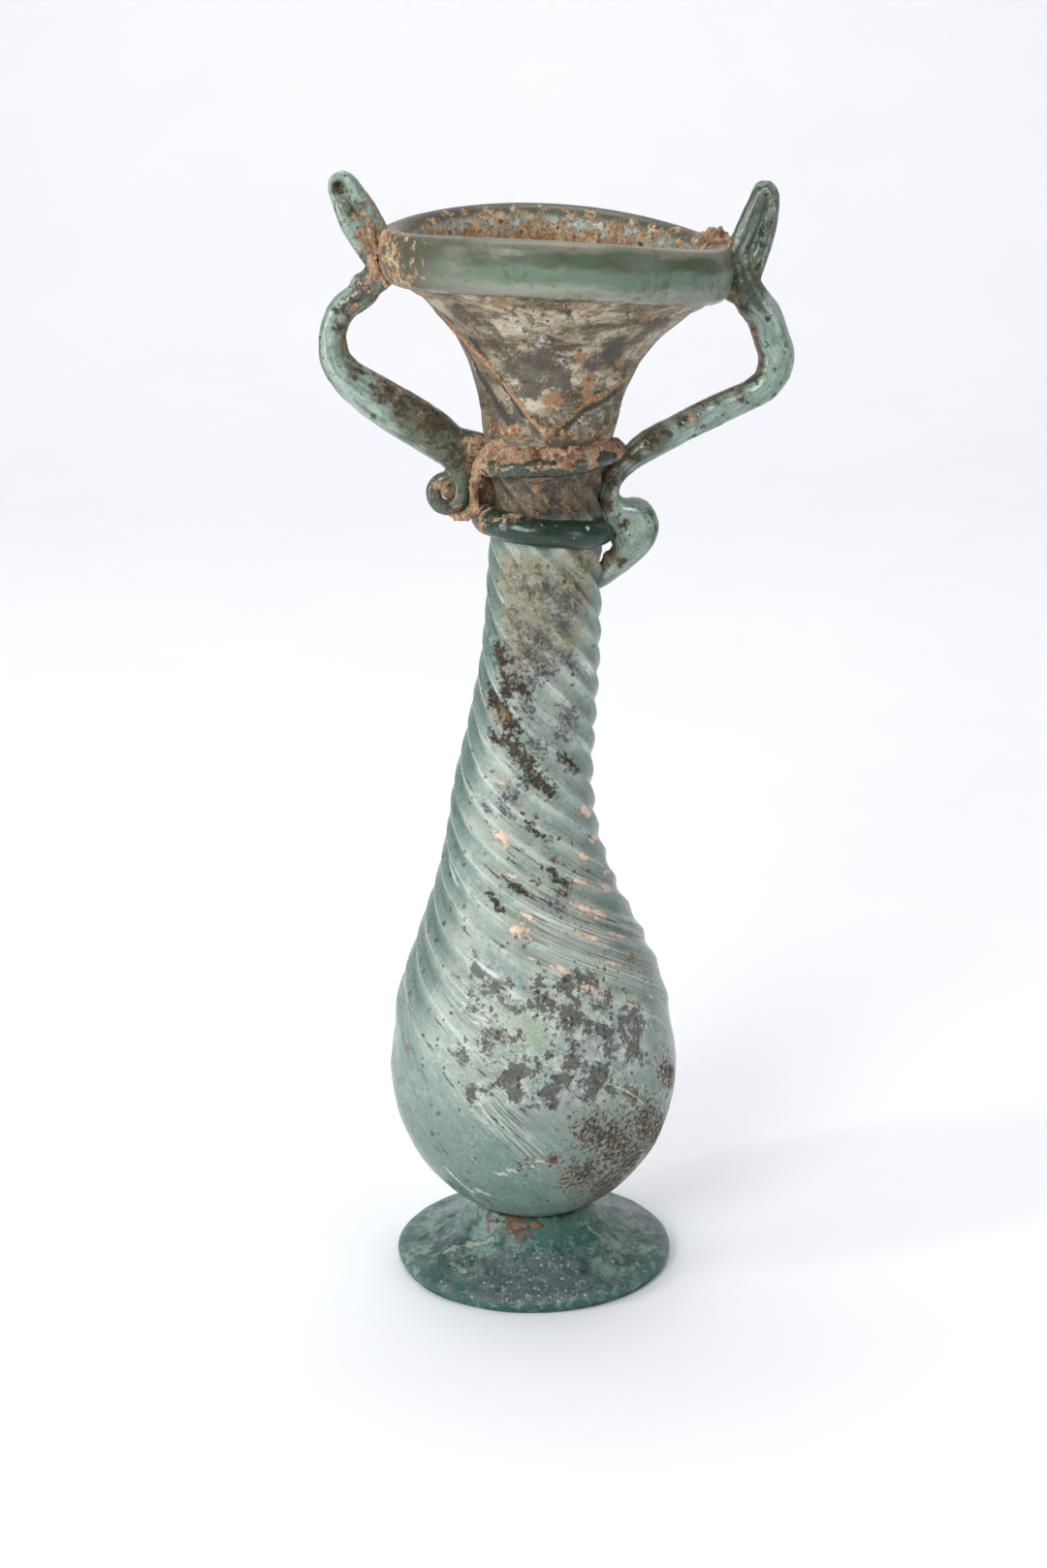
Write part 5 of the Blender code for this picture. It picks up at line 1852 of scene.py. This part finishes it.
@dataclass
class SoilCrust:
    """A crumbly crust of soil: runs and lumps pressed together."""

    name: str
    runs: tuple[Knots, ...]
    lumps: Knots
    seed: int
    cell: float = 0.24
    crumb: float = 0.3
    darkness: float = 0.5

    def build(self) -> bpy.types.Object:
        """Builds and dresses the crust.

        Returns:
            The crust.
        """
        parts = [MeshTools.rod(f"{self.name}_{i}", run, 0.3) for i, run in enumerate(self.runs)]
        if self.lumps:
            build = bmesh.new()
            for x, y, z, radius in self.lumps:
                place = Matrix.Translation(Vector((x, y, z)) * MM)
                bmesh.ops.create_icosphere(build, subdivisions=2, radius=radius * MM, matrix=place)
            parts.append(MeshTools.settle(self.name + "_lumps", build))
        obj = MeshTools.fuse(self.name, parts, self.cell, 2)
        points = MeshTools.points_of(obj)
        grain = Grain(self.seed)
        coarse, small = grain.at(points, 1.5, 2, 0.6), grain.at(points, 0.55, 2)
        rough = self.crumb * coarse + 0.5 * self.crumb * small - 0.1
        MeshTools.set_points(obj, points + MeshTools.normals_of(obj) * rough[:, None])
        obj.data.materials.append(SoilFinish(name=self.name + "_finish", darkness=self.darkness).make())
        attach(obj, "root")
        return obj


@dataclass
class Crusts:
    """Every crust of soil on the vessel."""

    form: WallForm
    seed: int = 5

    def build(self) -> list[bpy.types.Object]:
        """Builds every crust.

        Returns:
            The crusts.
        """
        made = [SoilBand(self.form).build()]
        crusts = (self.left_web(), self.left_hollow(), self.left_rim(), self.right_hollow(), self.right_rim())
        for crust in (*crusts, self.right_web(), self.mouth(), self.foot()):
            made.append(crust.build())
        return made

    def scatter(
        self, path: Knots, count: int, size: tuple[float, float], seed: int
    ) -> Knots:
        """Lumps scattered round a path.

        Args:
            path: The path's (x, y, z, spread) knots.
            count: How many lumps there are.
            size: Their least and greatest radius.
            seed: The seed.

        Returns:
            The lumps as (x, y, z, radius).
        """
        draw = np.random.default_rng(seed)
        route = MeshTools.even(path, 0.3)
        lumps = []
        for _ in range(count):
            x, y, z, spread = route[draw.integers(len(route))]
            off = draw.normal(0.0, 0.5, 3) * spread
            lumps.append(
                (float(x + off[0]), float(y + off[1]), float(z + off[2]), float(draw.uniform(*size)))
            )
        return tuple(lumps)

    def left_web(self) -> SoilCrust:
        """The soil between the left handle's foot, its curl and the ring."""
        down = (
            (-4.6, -4.6, 131.4, 0.8), (-6.2, -4.0, 129.4, 1.0), (-7.2, -3.2, 127.0, 0.9),
            (-7.7, -2.7, 124.6, 0.7), (-7.7, -2.5, 122.6, 0.75), (-8.3, -2.2, 121.0, 0.9),
            (-9.8, -1.6, 120.2, 0.75), (-11.2, -1.0, 120.4, 0.5),
        )
        foot = ((-8.0, -2.4, 121.4, 0.6), (-6.2, -3.8, 120.8, 0.5), (-4.6, -5.4, 120.6, 0.35))
        plug = ((-12.4, -0.4, 124.4, 0.8), (-11.4, -0.3, 123.6, 1.1), (-10.7, -0.2, 123.0, 0.8))
        lumps = self.scatter(tuple((x, y, z, 1.0) for x, y, z, _ in down), 60, (0.2, 0.45), self.seed + 10)
        return SoilCrust("left_soil_web", (down, foot, plug), lumps, self.seed + 11)

    def left_hollow(self) -> SoilCrust:
        """The soil at the back of the hollow between the left handle's foot and the neck, darkened all over
        as painted shade.
        """
        first = (
            (-5.4, 0.2, 130.4, 1.5), (-6.0, 0.6, 126.6, 1.7), (-6.0, 0.6, 123.6, 1.7),
            (-6.4, 0.2, 120.8, 1.4)
        )
        return SoilCrust("left_hollow_soil_and_shade", (first,), (), self.seed + 15, 0.26, 0.3, 1.0)

    def left_rim(self) -> SoilCrust:
        """The soil over the collar's left end and the thumb-rest's foot."""
        path = (
            (-20.6, -3.6, 154.6, 1.0), (-21.2, -2.2, 157.2, 1.0), (-21.6, -1.4, 160.0, 0.9),
            (-22.2, -1.0, 162.4, 0.6),
        )
        lumps = self.scatter(path, 150, (0.2, 0.5), self.seed + 20)
        return SoilCrust("left_rim_soil", (), lumps, self.seed + 21, 0.22, 0.2)

    def right_rim(self) -> SoilCrust:
        """The lump of soil behind the right handle's root, on the rim."""
        path = ((27.0, 6.4, 160.0, 1.0), (28.4, 4.0, 159.6, 1.2), (29.4, 1.4, 158.8, 0.8))
        lumps = self.scatter(path, 130, (0.25, 0.65), self.seed + 30)
        return SoilCrust("right_rim_soil", (), lumps, self.seed + 31, 0.22, 0.22)

    def right_web(self) -> SoilCrust:
        """The soil in the fold between the right handle's tail and the neck, darkened all over as painted
        shade.
        """
        path = (
            (12.8, -1.2, 114.6, 0.6), (11.9, -0.9, 113.5, 0.8), (11.3, -0.8, 112.2, 0.7),
            (11.0, -0.6, 110.8, 0.4)
        )
        lumps = self.scatter(path, 60, (0.2, 0.4), self.seed + 40)
        return SoilCrust("right_soil_and_shade_web", (path,), lumps, self.seed + 41, 0.22, 0.15, 1.0)

    def right_hollow(self) -> SoilCrust:
        """The soil that fills the gap between the right handle's strand and the neck, darkened all over as
        painted shade.
        """
        path = (
            (12.4, 0.4, 130.2, 0.9), (11.6, 0.5, 128.0, 1.0), (11.1, 0.6, 125.0, 1.0),
            (11.0, 0.6, 122.0, 1.0), (11.2, 0.5, 119.6, 0.9),
        )
        lumps = self.scatter(path, 50, (0.2, 0.4), self.seed + 45)
        return SoilCrust("right_hollow_soil_and_shade", (path,), lumps, self.seed + 46, 0.24, 0.25, 1.0)

    def mouth(self) -> SoilCrust:
        """The soil that lies inside the mouth, below the rim."""
        draw = np.random.default_rng(self.seed + 50)
        lumps = []
        for _ in range(170):
            angle = math.radians(draw.uniform(0.0, 360.0))
            height = draw.uniform(149.0, 155.8)
            radius = single(self.form.crest, min(height, 152.0)) - 1.3
            radius += max(0.0, height - 152.0) * 0.5 - draw.uniform(-0.35, 0.1)
            point = self.form.place(np.array([radius]), np.array([angle]), np.array([height]))[0]
            lumps.append((float(point[0]), float(point[1]), float(point[2]), draw.uniform(0.22, 0.45)))
        return SoilCrust("mouth_soil", (), tuple(lumps), self.seed + 51, 0.26, 0.25)

    def foot(self) -> SoilCrust:
        """The soil in the crevice between the body and the foot, darkened all over as painted shade."""
        draw = np.random.default_rng(self.seed + 60)
        lumps = []
        for _ in range(190):
            turn = draw.normal(-106.0, 13.0) if draw.random() < 0.55 else draw.uniform(-180.0, 180.0)
            angle = math.radians(turn)
            radius = 9.5 + abs(draw.normal(0.0, 0.45))
            height = 9.7 - 0.8 * (radius - 9.6) + draw.uniform(-0.3, 0.1)
            lumps.append(
                (radius * math.cos(angle), radius * math.sin(angle), height, draw.uniform(0.15, 0.36))
            )
        return SoilCrust("foot_soil_and_shade", (), tuple(lumps), self.seed + 61, 0.2, 0.15, 1.0)


class HandleRoutes:
    """The two handles' strands as (x, y, z, radius) knots, laid over the frame's own."""

    def __init__(self, form: WallForm, side: Side) -> None:
        """Finds the handle's two anchors.

        Args:
            form: The vessel's form.
            side: Which handle it is.
        """
        self.low_x = single(form.lean, RING_HEIGHT) + side.value * form.neck_radius
        self.high_x = single(form.lean, form.funnel_top) + side.value * form.collar_radius
        self.low_z = 117.1
        self.high_z = form.funnel_top + form.collar_lift

    def strand(
        self, route: Sequence[tuple[float, float, float]], radius: float, depth: float = 0.0
    ) -> Knots:
        """A strand's knots.

        Args:
            route: Its (out, up, share of the radius) points.
            radius: Its radius.
            depth: How far back it lies.

        Returns:
            The (x, y, z, radius) knots.
        """
        knots = []
        for out, up, share in route:
            x = self.low_x + out * (self.high_x - self.low_x)
            z = self.low_z + up * (self.high_z - self.low_z)
            knots.append((x, depth, z, radius * share))
        return tuple(knots)


def left_handle(form: WallForm) -> Handle:
    """The left handle.

    Args:
        form: The vessel's form.

    Returns:
        The handle, not yet built.
    """
    lay = HandleRoutes(form, Side.LEFT)
    main = (
        (0.97, 1.12, 0.75), (0.985, 1.05, 0.90), (1.13, 0.955, 1.02), (1.32, 0.895, 1.0),
        (1.42, 0.82, 0.98), (1.435, 0.76, 1.02), (1.41, 0.69, 1.14), (1.31, 0.632, 1.30),
        (1.21, 0.596, 1.46), (0.99, 0.530, 1.62), (0.74, 0.466, 1.70), (0.49, 0.396, 1.64),
        (0.34, 0.335, 1.38), (0.27, 0.27, 1.02), (0.25, 0.20, 0.80),
    )
    curl = (
        (0.25, 0.23, 1.25), (0.28, 0.140, 1.28), (0.39, 0.114, 1.14), (0.485, 0.126, 1.05),
        (0.532, 0.170, 1.0), (0.50, 0.208, 1.0), (0.42, 0.225, 1.0), (0.33, 0.235, 0.9),
    )
    front = (
        (0.985, 1.02, 1.08), (1.02, 1.075, 1.12), (1.145, 1.145, 1.08), (1.25, 1.22, 1.02),
        (1.305, 1.275, 0.9),
    )
    loop = (
        (1.145, 1.145, 0.9), (1.25, 1.22, 0.94), (1.322, 1.29, 0.86), (1.372, 1.34, 0.70),
        (1.355, 1.375, 0.64), (1.285, 1.384, 0.66), (1.225, 1.36, 0.76), (1.15, 1.30, 0.94),
    )
    inner = (
        (1.245, 1.372, 0.55), (1.215, 1.345, 0.82), (1.15, 1.30, 1.02), (1.075, 1.24, 1.14),
        (1.0, 1.175, 1.20), (0.93, 1.10, 1.14),
    )
    pad = ((0.42, 0.365, 1.42), (0.20, 0.35, 1.25), (-0.02, 0.34, 1.0))
    bracket = ((1.14, 0.975, 1.0), (1.02, 0.99, 0.85), (0.90, 1.01, 0.6))
    finish = RodFinish(
        name="left_rod_glass", pale=srgb(160, 180, 168), deep=srgb(58, 72, 56), streak=srgb(128, 150, 138),
    )
    return Handle(
        side=Side.LEFT, node="left_handle", slot="left_handle_glass", finish=finish, seed=41,
        opening=(-15.0, 0.0, 145.0),
        strands=(
            Strand(lay.strand(main, 2.05), dark=0.24),
            Strand(lay.strand(curl, 1.15, -0.35), dark=0.8, scurf=0.3),
            Strand(lay.strand(front, 1.5, -0.6), scurf=0.35), Strand(lay.strand(loop, 1.5, 0.3), soil=0.35),
            Strand(lay.strand(inner, 1.5, 0.5), soil=0.6, scurf=0.5),
            Strand(lay.strand(pad, 2.05), dark=0.6, soil=0.5, scurf=0.5),
            Strand(lay.strand(bracket, 2.05), soil=0.5, scurf=0.6),
        ),
        soil=(
            Spot(-21.0, 157.0, 2.6), Spot(-22.2, 161.0, 2.6, 1.1), Spot(-22.6, 154.0, 2.2, 0.8),
            Spot(-23.2, 163.6, 1.6, 0.8), Spot(-6.8, 131.2, 3.0), Spot(-7.6, 127.4, 1.8),
            Spot(-13.0, 124.6, 1.5), Spot(-24.0, 151.0, 1.6, 0.6), Spot(-15.0, 135.4, 1.4, 0.6),
            Spot(-10.4, 121.4, 1.0, 0.8), Spot(-18.8, 138.0, 1.3, 0.5), Spot(-24.6, 144.6, 0.9, 0.6),
        ),
        dark=(
            Spot(-9.0, 126.0, 5.0), Spot(-11.0, 131.0, 5.0), Spot(-12.5, 122.4, 3.4),
            Spot(-15.0, 134.4, 4.4, 0.85), Spot(-23.4, 153.0, 2.2, 0.8), Spot(-22.6, 157.0, 2.6, 0.7),
            Spot(-25.6, 165.6, 2.4, 0.35),
        ),
        scurf=(
            Spot(-20.4, 138.6, 2.4, 0.95), Spot(-17.6, 136.6, 2.8, 0.95), Spot(-24.6, 142.0, 1.8, 0.8),
            Spot(-25.6, 150.8, 2.4, 0.75), Spot(-13.6, 134.0, 3.2, 0.9), Spot(-10.0, 129.6, 3.6, 0.85),
            Spot(-21.4, 158.0, 2.8, 0.85), Spot(-27.2, 148.4, 1.8, 0.6), Spot(-24.6, 164.6, 2.2, 0.7),
            Spot(-11.0, 122.0, 2.2, 0.6),
        ),
        dents=(Spot(-26.5, 167.7, 0.95, 1.2), Spot(-20.9, 155.4, 0.5, 0.8)),
    )


def right_handle(form: WallForm) -> Handle:
    """The right handle.

    Args:
        form: The vessel's form.

    Returns:
        The handle, not yet built.
    """
    lay = HandleRoutes(form, Side.RIGHT)
    main = (
        (1.05, 1.06, 0.85), (1.06, 0.99, 1.08), (1.145, 0.905, 1.22), (1.235, 0.845, 1.24),
        (1.30, 0.755, 1.26), (1.335, 0.695, 1.26), (1.315, 0.635, 1.20), (1.268, 0.590, 1.10),
        (1.203, 0.563, 1.07), (1.12, 0.538, 1.05), (0.865, 0.480, 1.04), (0.573, 0.407, 1.06),
        (0.375, 0.355, 1.06), (0.232, 0.302, 0.90), (0.125, 0.243, 0.70), (0.072, 0.185, 0.60),
        (0.075, 0.143, 0.62), (0.115, 0.112, 0.68), (0.19, 0.097, 0.80),
    )
    tail = (
        (0.10, 0.118, 0.62), (0.17, 0.098, 0.82), (0.265, 0.083, 1.10), (0.304, 0.030, 1.24),
        (0.262, -0.025, 1.22), (0.18, -0.077, 1.06), (0.09, -0.127, 0.90), (0.0, -0.175, 0.66),
        (-0.06, -0.20, 0.5),
    )
    fold = (
        (0.09, 0.235, 0.58), (0.055, 0.155, 0.68), (0.07, 0.08, 0.76), (0.125, 0.025, 0.8),
        (0.16, -0.03, 0.8),
    )
    outer = (
        (1.07, 0.955, 1.2), (1.12, 1.0, 1.2), (1.17, 1.06, 1.10), (1.218, 1.125, 1.0),
        (1.26, 1.205, 0.92), (1.283, 1.275, 0.82), (1.258, 1.325, 0.78), (1.20, 1.322, 0.78),
    )
    inner = (
        (1.245, 1.312, 0.66), (1.205, 1.32, 0.82), (1.152, 1.258, 0.92), (1.10, 1.197, 0.96),
        (1.05, 1.136, 1.0), (0.99, 1.07, 1.12),
    )
    bracket = ((1.12, 0.93, 1.0), (1.0, 0.945, 0.85), (0.89, 0.965, 0.6))
    finish = RodFinish(
        name="right_rod_glass", pale=srgb(156, 176, 163), deep=srgb(46, 68, 55), streak=srgb(124, 146, 133),
    )
    return Handle(
        side=Side.RIGHT, node="right_handle", slot="right_handle_glass", finish=finish, seed=43,
        painted_inward_shade=0.7,
        opening=(21.0, 0.0, 145.0),
        strands=(
            Strand(lay.strand(main, 2.15)), Strand(lay.strand(tail, 2.15)),
            Strand(lay.strand(fold, 2.15, -0.5), dark=0.35, scurf=0.35),
            Strand(lay.strand(outer, 1.5, 0.5), dark=0.4, scurf=0.5),
            Strand(lay.strand(inner, 1.5, -0.5), dark=0.6, scurf=0.15),
            Strand(lay.strand(bracket, 2.15), dark=0.6, soil=0.5, scurf=0.5),
        ),
        soil=(
            Spot(30.0, 157.0, 1.6, 0.9), Spot(24.4, 134.6, 1.7, 0.85), Spot(18.8, 132.2, 1.4, 0.6),
            Spot(12.6, 127.0, 1.4, 0.9), Spot(28.6, 158.0, 2.0), Spot(12.0, 123.6, 0.8, 0.7),
            Spot(30.6, 154.2, 1.0, 0.6), Spot(13.0, 113.8, 0.9, 0.8),
        ),
        dark=(
            Spot(32.0, 153.4, 3.4), Spot(30.8, 150.0, 2.4, 0.8), Spot(31.0, 158.0, 2.4, 0.6),
            Spot(19.6, 116.8, 1.8, 0.8), Spot(18.6, 131.6, 2.4, 0.8), Spot(18.6, 120.6, 1.2, 0.6),
            Spot(13.6, 126.0, 2.4, 0.8), Spot(12.0, 122.4, 1.0, 0.8), Spot(15.6, 129.4, 2.4, 0.7),
            Spot(14.6, 118.9, 0.6, 1.3),
        ),
        scurf=(
            Spot(14.6, 118.9, 0.5, 1.6), Spot(31.4, 137.6, 1.4, 0.8), Spot(28.0, 136.6, 1.2, 0.6),
            Spot(20.2, 132.4, 1.8, 0.8), Spot(33.4, 155.6, 1.8, 0.5), Spot(15.4, 129.0, 1.8, 0.7),
            Spot(12.4, 125.0, 1.8, 0.8), Spot(14.0, 113.2, 1.2, 0.9), Spot(12.2, 121.6, 1.4, 0.9),
            Spot(22.8, 134.0, 1.6, 0.8), Spot(17.6, 131.0, 2.2, 0.8), Spot(29.6, 157.4, 1.6, 0.8),
            Spot(31.8, 149.4, 1.4, 0.6),
        ),
    )


@dataclass
class Studio:
    """The pale paper, the soft light and the camera."""

    lens: float = 59.31
    eye: tuple[float, float, float] = (-1.08, -379.14, 188.98)
    pitch: float = 16.25
    roll: float = -0.62
    yaw: float = 0.03

    def camera(self) -> None:
        """Sets the camera at the viewing angle of the photograph."""
        data = bpy.data.cameras.new("viewer")
        data.lens = self.lens
        data.sensor_width = 36.0
        data.sensor_fit = "AUTO"
        data.clip_start = 0.01
        camera = MeshTools.link("viewer", data)
        pitch, roll, yaw = (math.radians(part) for part in (self.pitch, self.roll, self.yaw))
        ahead = Vector((math.sin(yaw) * math.cos(pitch), math.cos(yaw) * math.cos(pitch), -math.sin(pitch)))
        right = Vector((math.cos(yaw), -math.sin(yaw), 0.0))
        above = right.cross(ahead)
        x = right * math.cos(roll) + above * math.sin(roll)
        y = above * math.cos(roll) - right * math.sin(roll)
        matrix = Matrix((x, y, -ahead)).transposed().to_4x4()
        matrix.translation = Vector(self.eye) * MM
        camera.matrix_world = matrix
        bpy.context.scene.camera = camera

    def lamp(
        self, name: str, place: Vector, aim: Vector, size: tuple[float, float], power: float
    ) -> None:
        """Adds a soft white lamp.

        Args:
            name: Its name.
            place: Where it stands, in metres.
            aim: The point that it faces.
            size: Its width and height in metres.
            power: Its power in watts.
        """
        data = bpy.data.lights.new(name, "AREA")
        data.shape = "RECTANGLE"
        data.size, data.size_y = size
        data.energy = power
        lamp = MeshTools.link(name, data)
        lamp.location = place
        lamp.rotation_euler = (aim - place).to_track_quat("-Z", "Y").to_euler()

    def lights(self) -> None:
        """Adds the soft lamps and the pale surroundings."""
        aim = Vector((0.0, 0.0, 0.09))
        self.lamp("key_softbox", Vector((-0.42, -0.82, 0.52)), aim, (0.4, 0.4), 5.8)
        self.lamp("left_strip", Vector((-0.72, -0.28, 0.28)), aim, (0.06, 0.6), 3.1)
        self.lamp("right_softbox", Vector((0.75, -0.5, 0.3)), aim, (0.3, 0.5), 1.5)
        self.lamp("top_softbox", Vector((0.0, 0.05, 0.95)), aim, (0.4, 0.4), 1.5)
        self.lamp("backdrop_lamp", Vector((0.0, 0.35, 1.3)), Vector((0.0, 1.15, 0.4)), (0.8, 0.8), 8.0)
        world = bpy.data.worlds.new("surroundings")
        bpy.context.scene.world = world
        world.use_nodes = True
        sky = world.node_tree.nodes["Background"].inputs
        sky["Color"].default_value = (0.95, 0.965, 1.0, 1.0)
        sky["Strength"].default_value = 0.36
        bpy.context.scene.view_settings.view_transform = "Standard"

    def paper(self) -> bpy.types.Object:
        """Lays the paper that runs under the vessel and rises behind it.

        Returns:
            The paper.
        """
        profile = [(-1.4, 0.0), (0.7, 0.0)]
        for i in range(1, 13):
            turn = 0.5 * math.pi * i / 12
            profile.append((0.7 + 0.5 * math.sin(turn), 0.5 - 0.5 * math.cos(turn)))
        profile.append((1.2, 2.2))
        points = []
        for y, z in profile:
            for x in (-2.4, 2.4):
                points.append((x / MM, y / MM, z / MM - 0.05))
        faces = [(2 * i, 2 * i + 1, 2 * i + 3, 2 * i + 2) for i in range(len(profile) - 1)]
        obj = MeshTools.build("paper_sweep", np.array(points), faces, closed=False)
        obj.data.materials.append(StudioFinish().make())
        return obj

    def build(self) -> None:
        """Builds the studio."""
        self.camera()
        self.lights()
        self.paper()


def note(obj: bpy.types.Object) -> None:
    """Reports one piece."""
    LOG.info("%s: %d points, %d faces", obj.name, len(obj.data.vertices), len(obj.data.polygons))


def main() -> None:
    """Builds every piece and the studio, and reports each piece's points and faces."""
    logging.basicConfig(level=logging.INFO, format="%(name)s %(message)s")
    form = WallForm()
    emerald = RodFinish(
        name="emerald_ring_glass", pale=srgb(54, 74, 60), deep=srgb(20, 46, 34), streak=srgb(38, 66, 50),
        dusk=srgb(34, 58, 42), transmission=0.2, speck=srgb(186, 194, 178), fleck_size=1.1, fleck_share=0.25,
    )
    murky = RodFinish(
        name="murky_thread_glass", pale=srgb(70, 84, 72), deep=srgb(26, 44, 38), streak=srgb(92, 96, 80),
        transmission=0.25,
    )
    Studio().build()
    note(VesselWall(form).build())
    note(PadFoot(form).build())
    note(NeckThread(
        name="murky_thread", node="upper_neck_coil", slot="crusted_coil_glass", form=form,
        height=THREAD_HEIGHT, thickness=1.5, stand=0.6, shift=0.0, tilt=THREAD_TILT, start=-12.0,
        unevenness=0.35, finish=murky, seed=31,
    ).build())
    note(NeckThread(
        name="emerald_ring", node="lower_neck_ring", slot="emerald_coil_glass", form=form, height=RING_HEIGHT,
        thickness=2.3, stand=0.15, shift=-0.6, tilt=-7.5, start=-18.0, unevenness=0.15, finish=emerald,
        flare=0.8, soil=0.8, seed=37,
    ).build())
    note(left_handle(form).build())
    note(right_handle(form).build())
    for crust in Crusts(form).build():
        note(crust)
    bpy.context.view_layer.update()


if __name__ == "__main__":
    main()
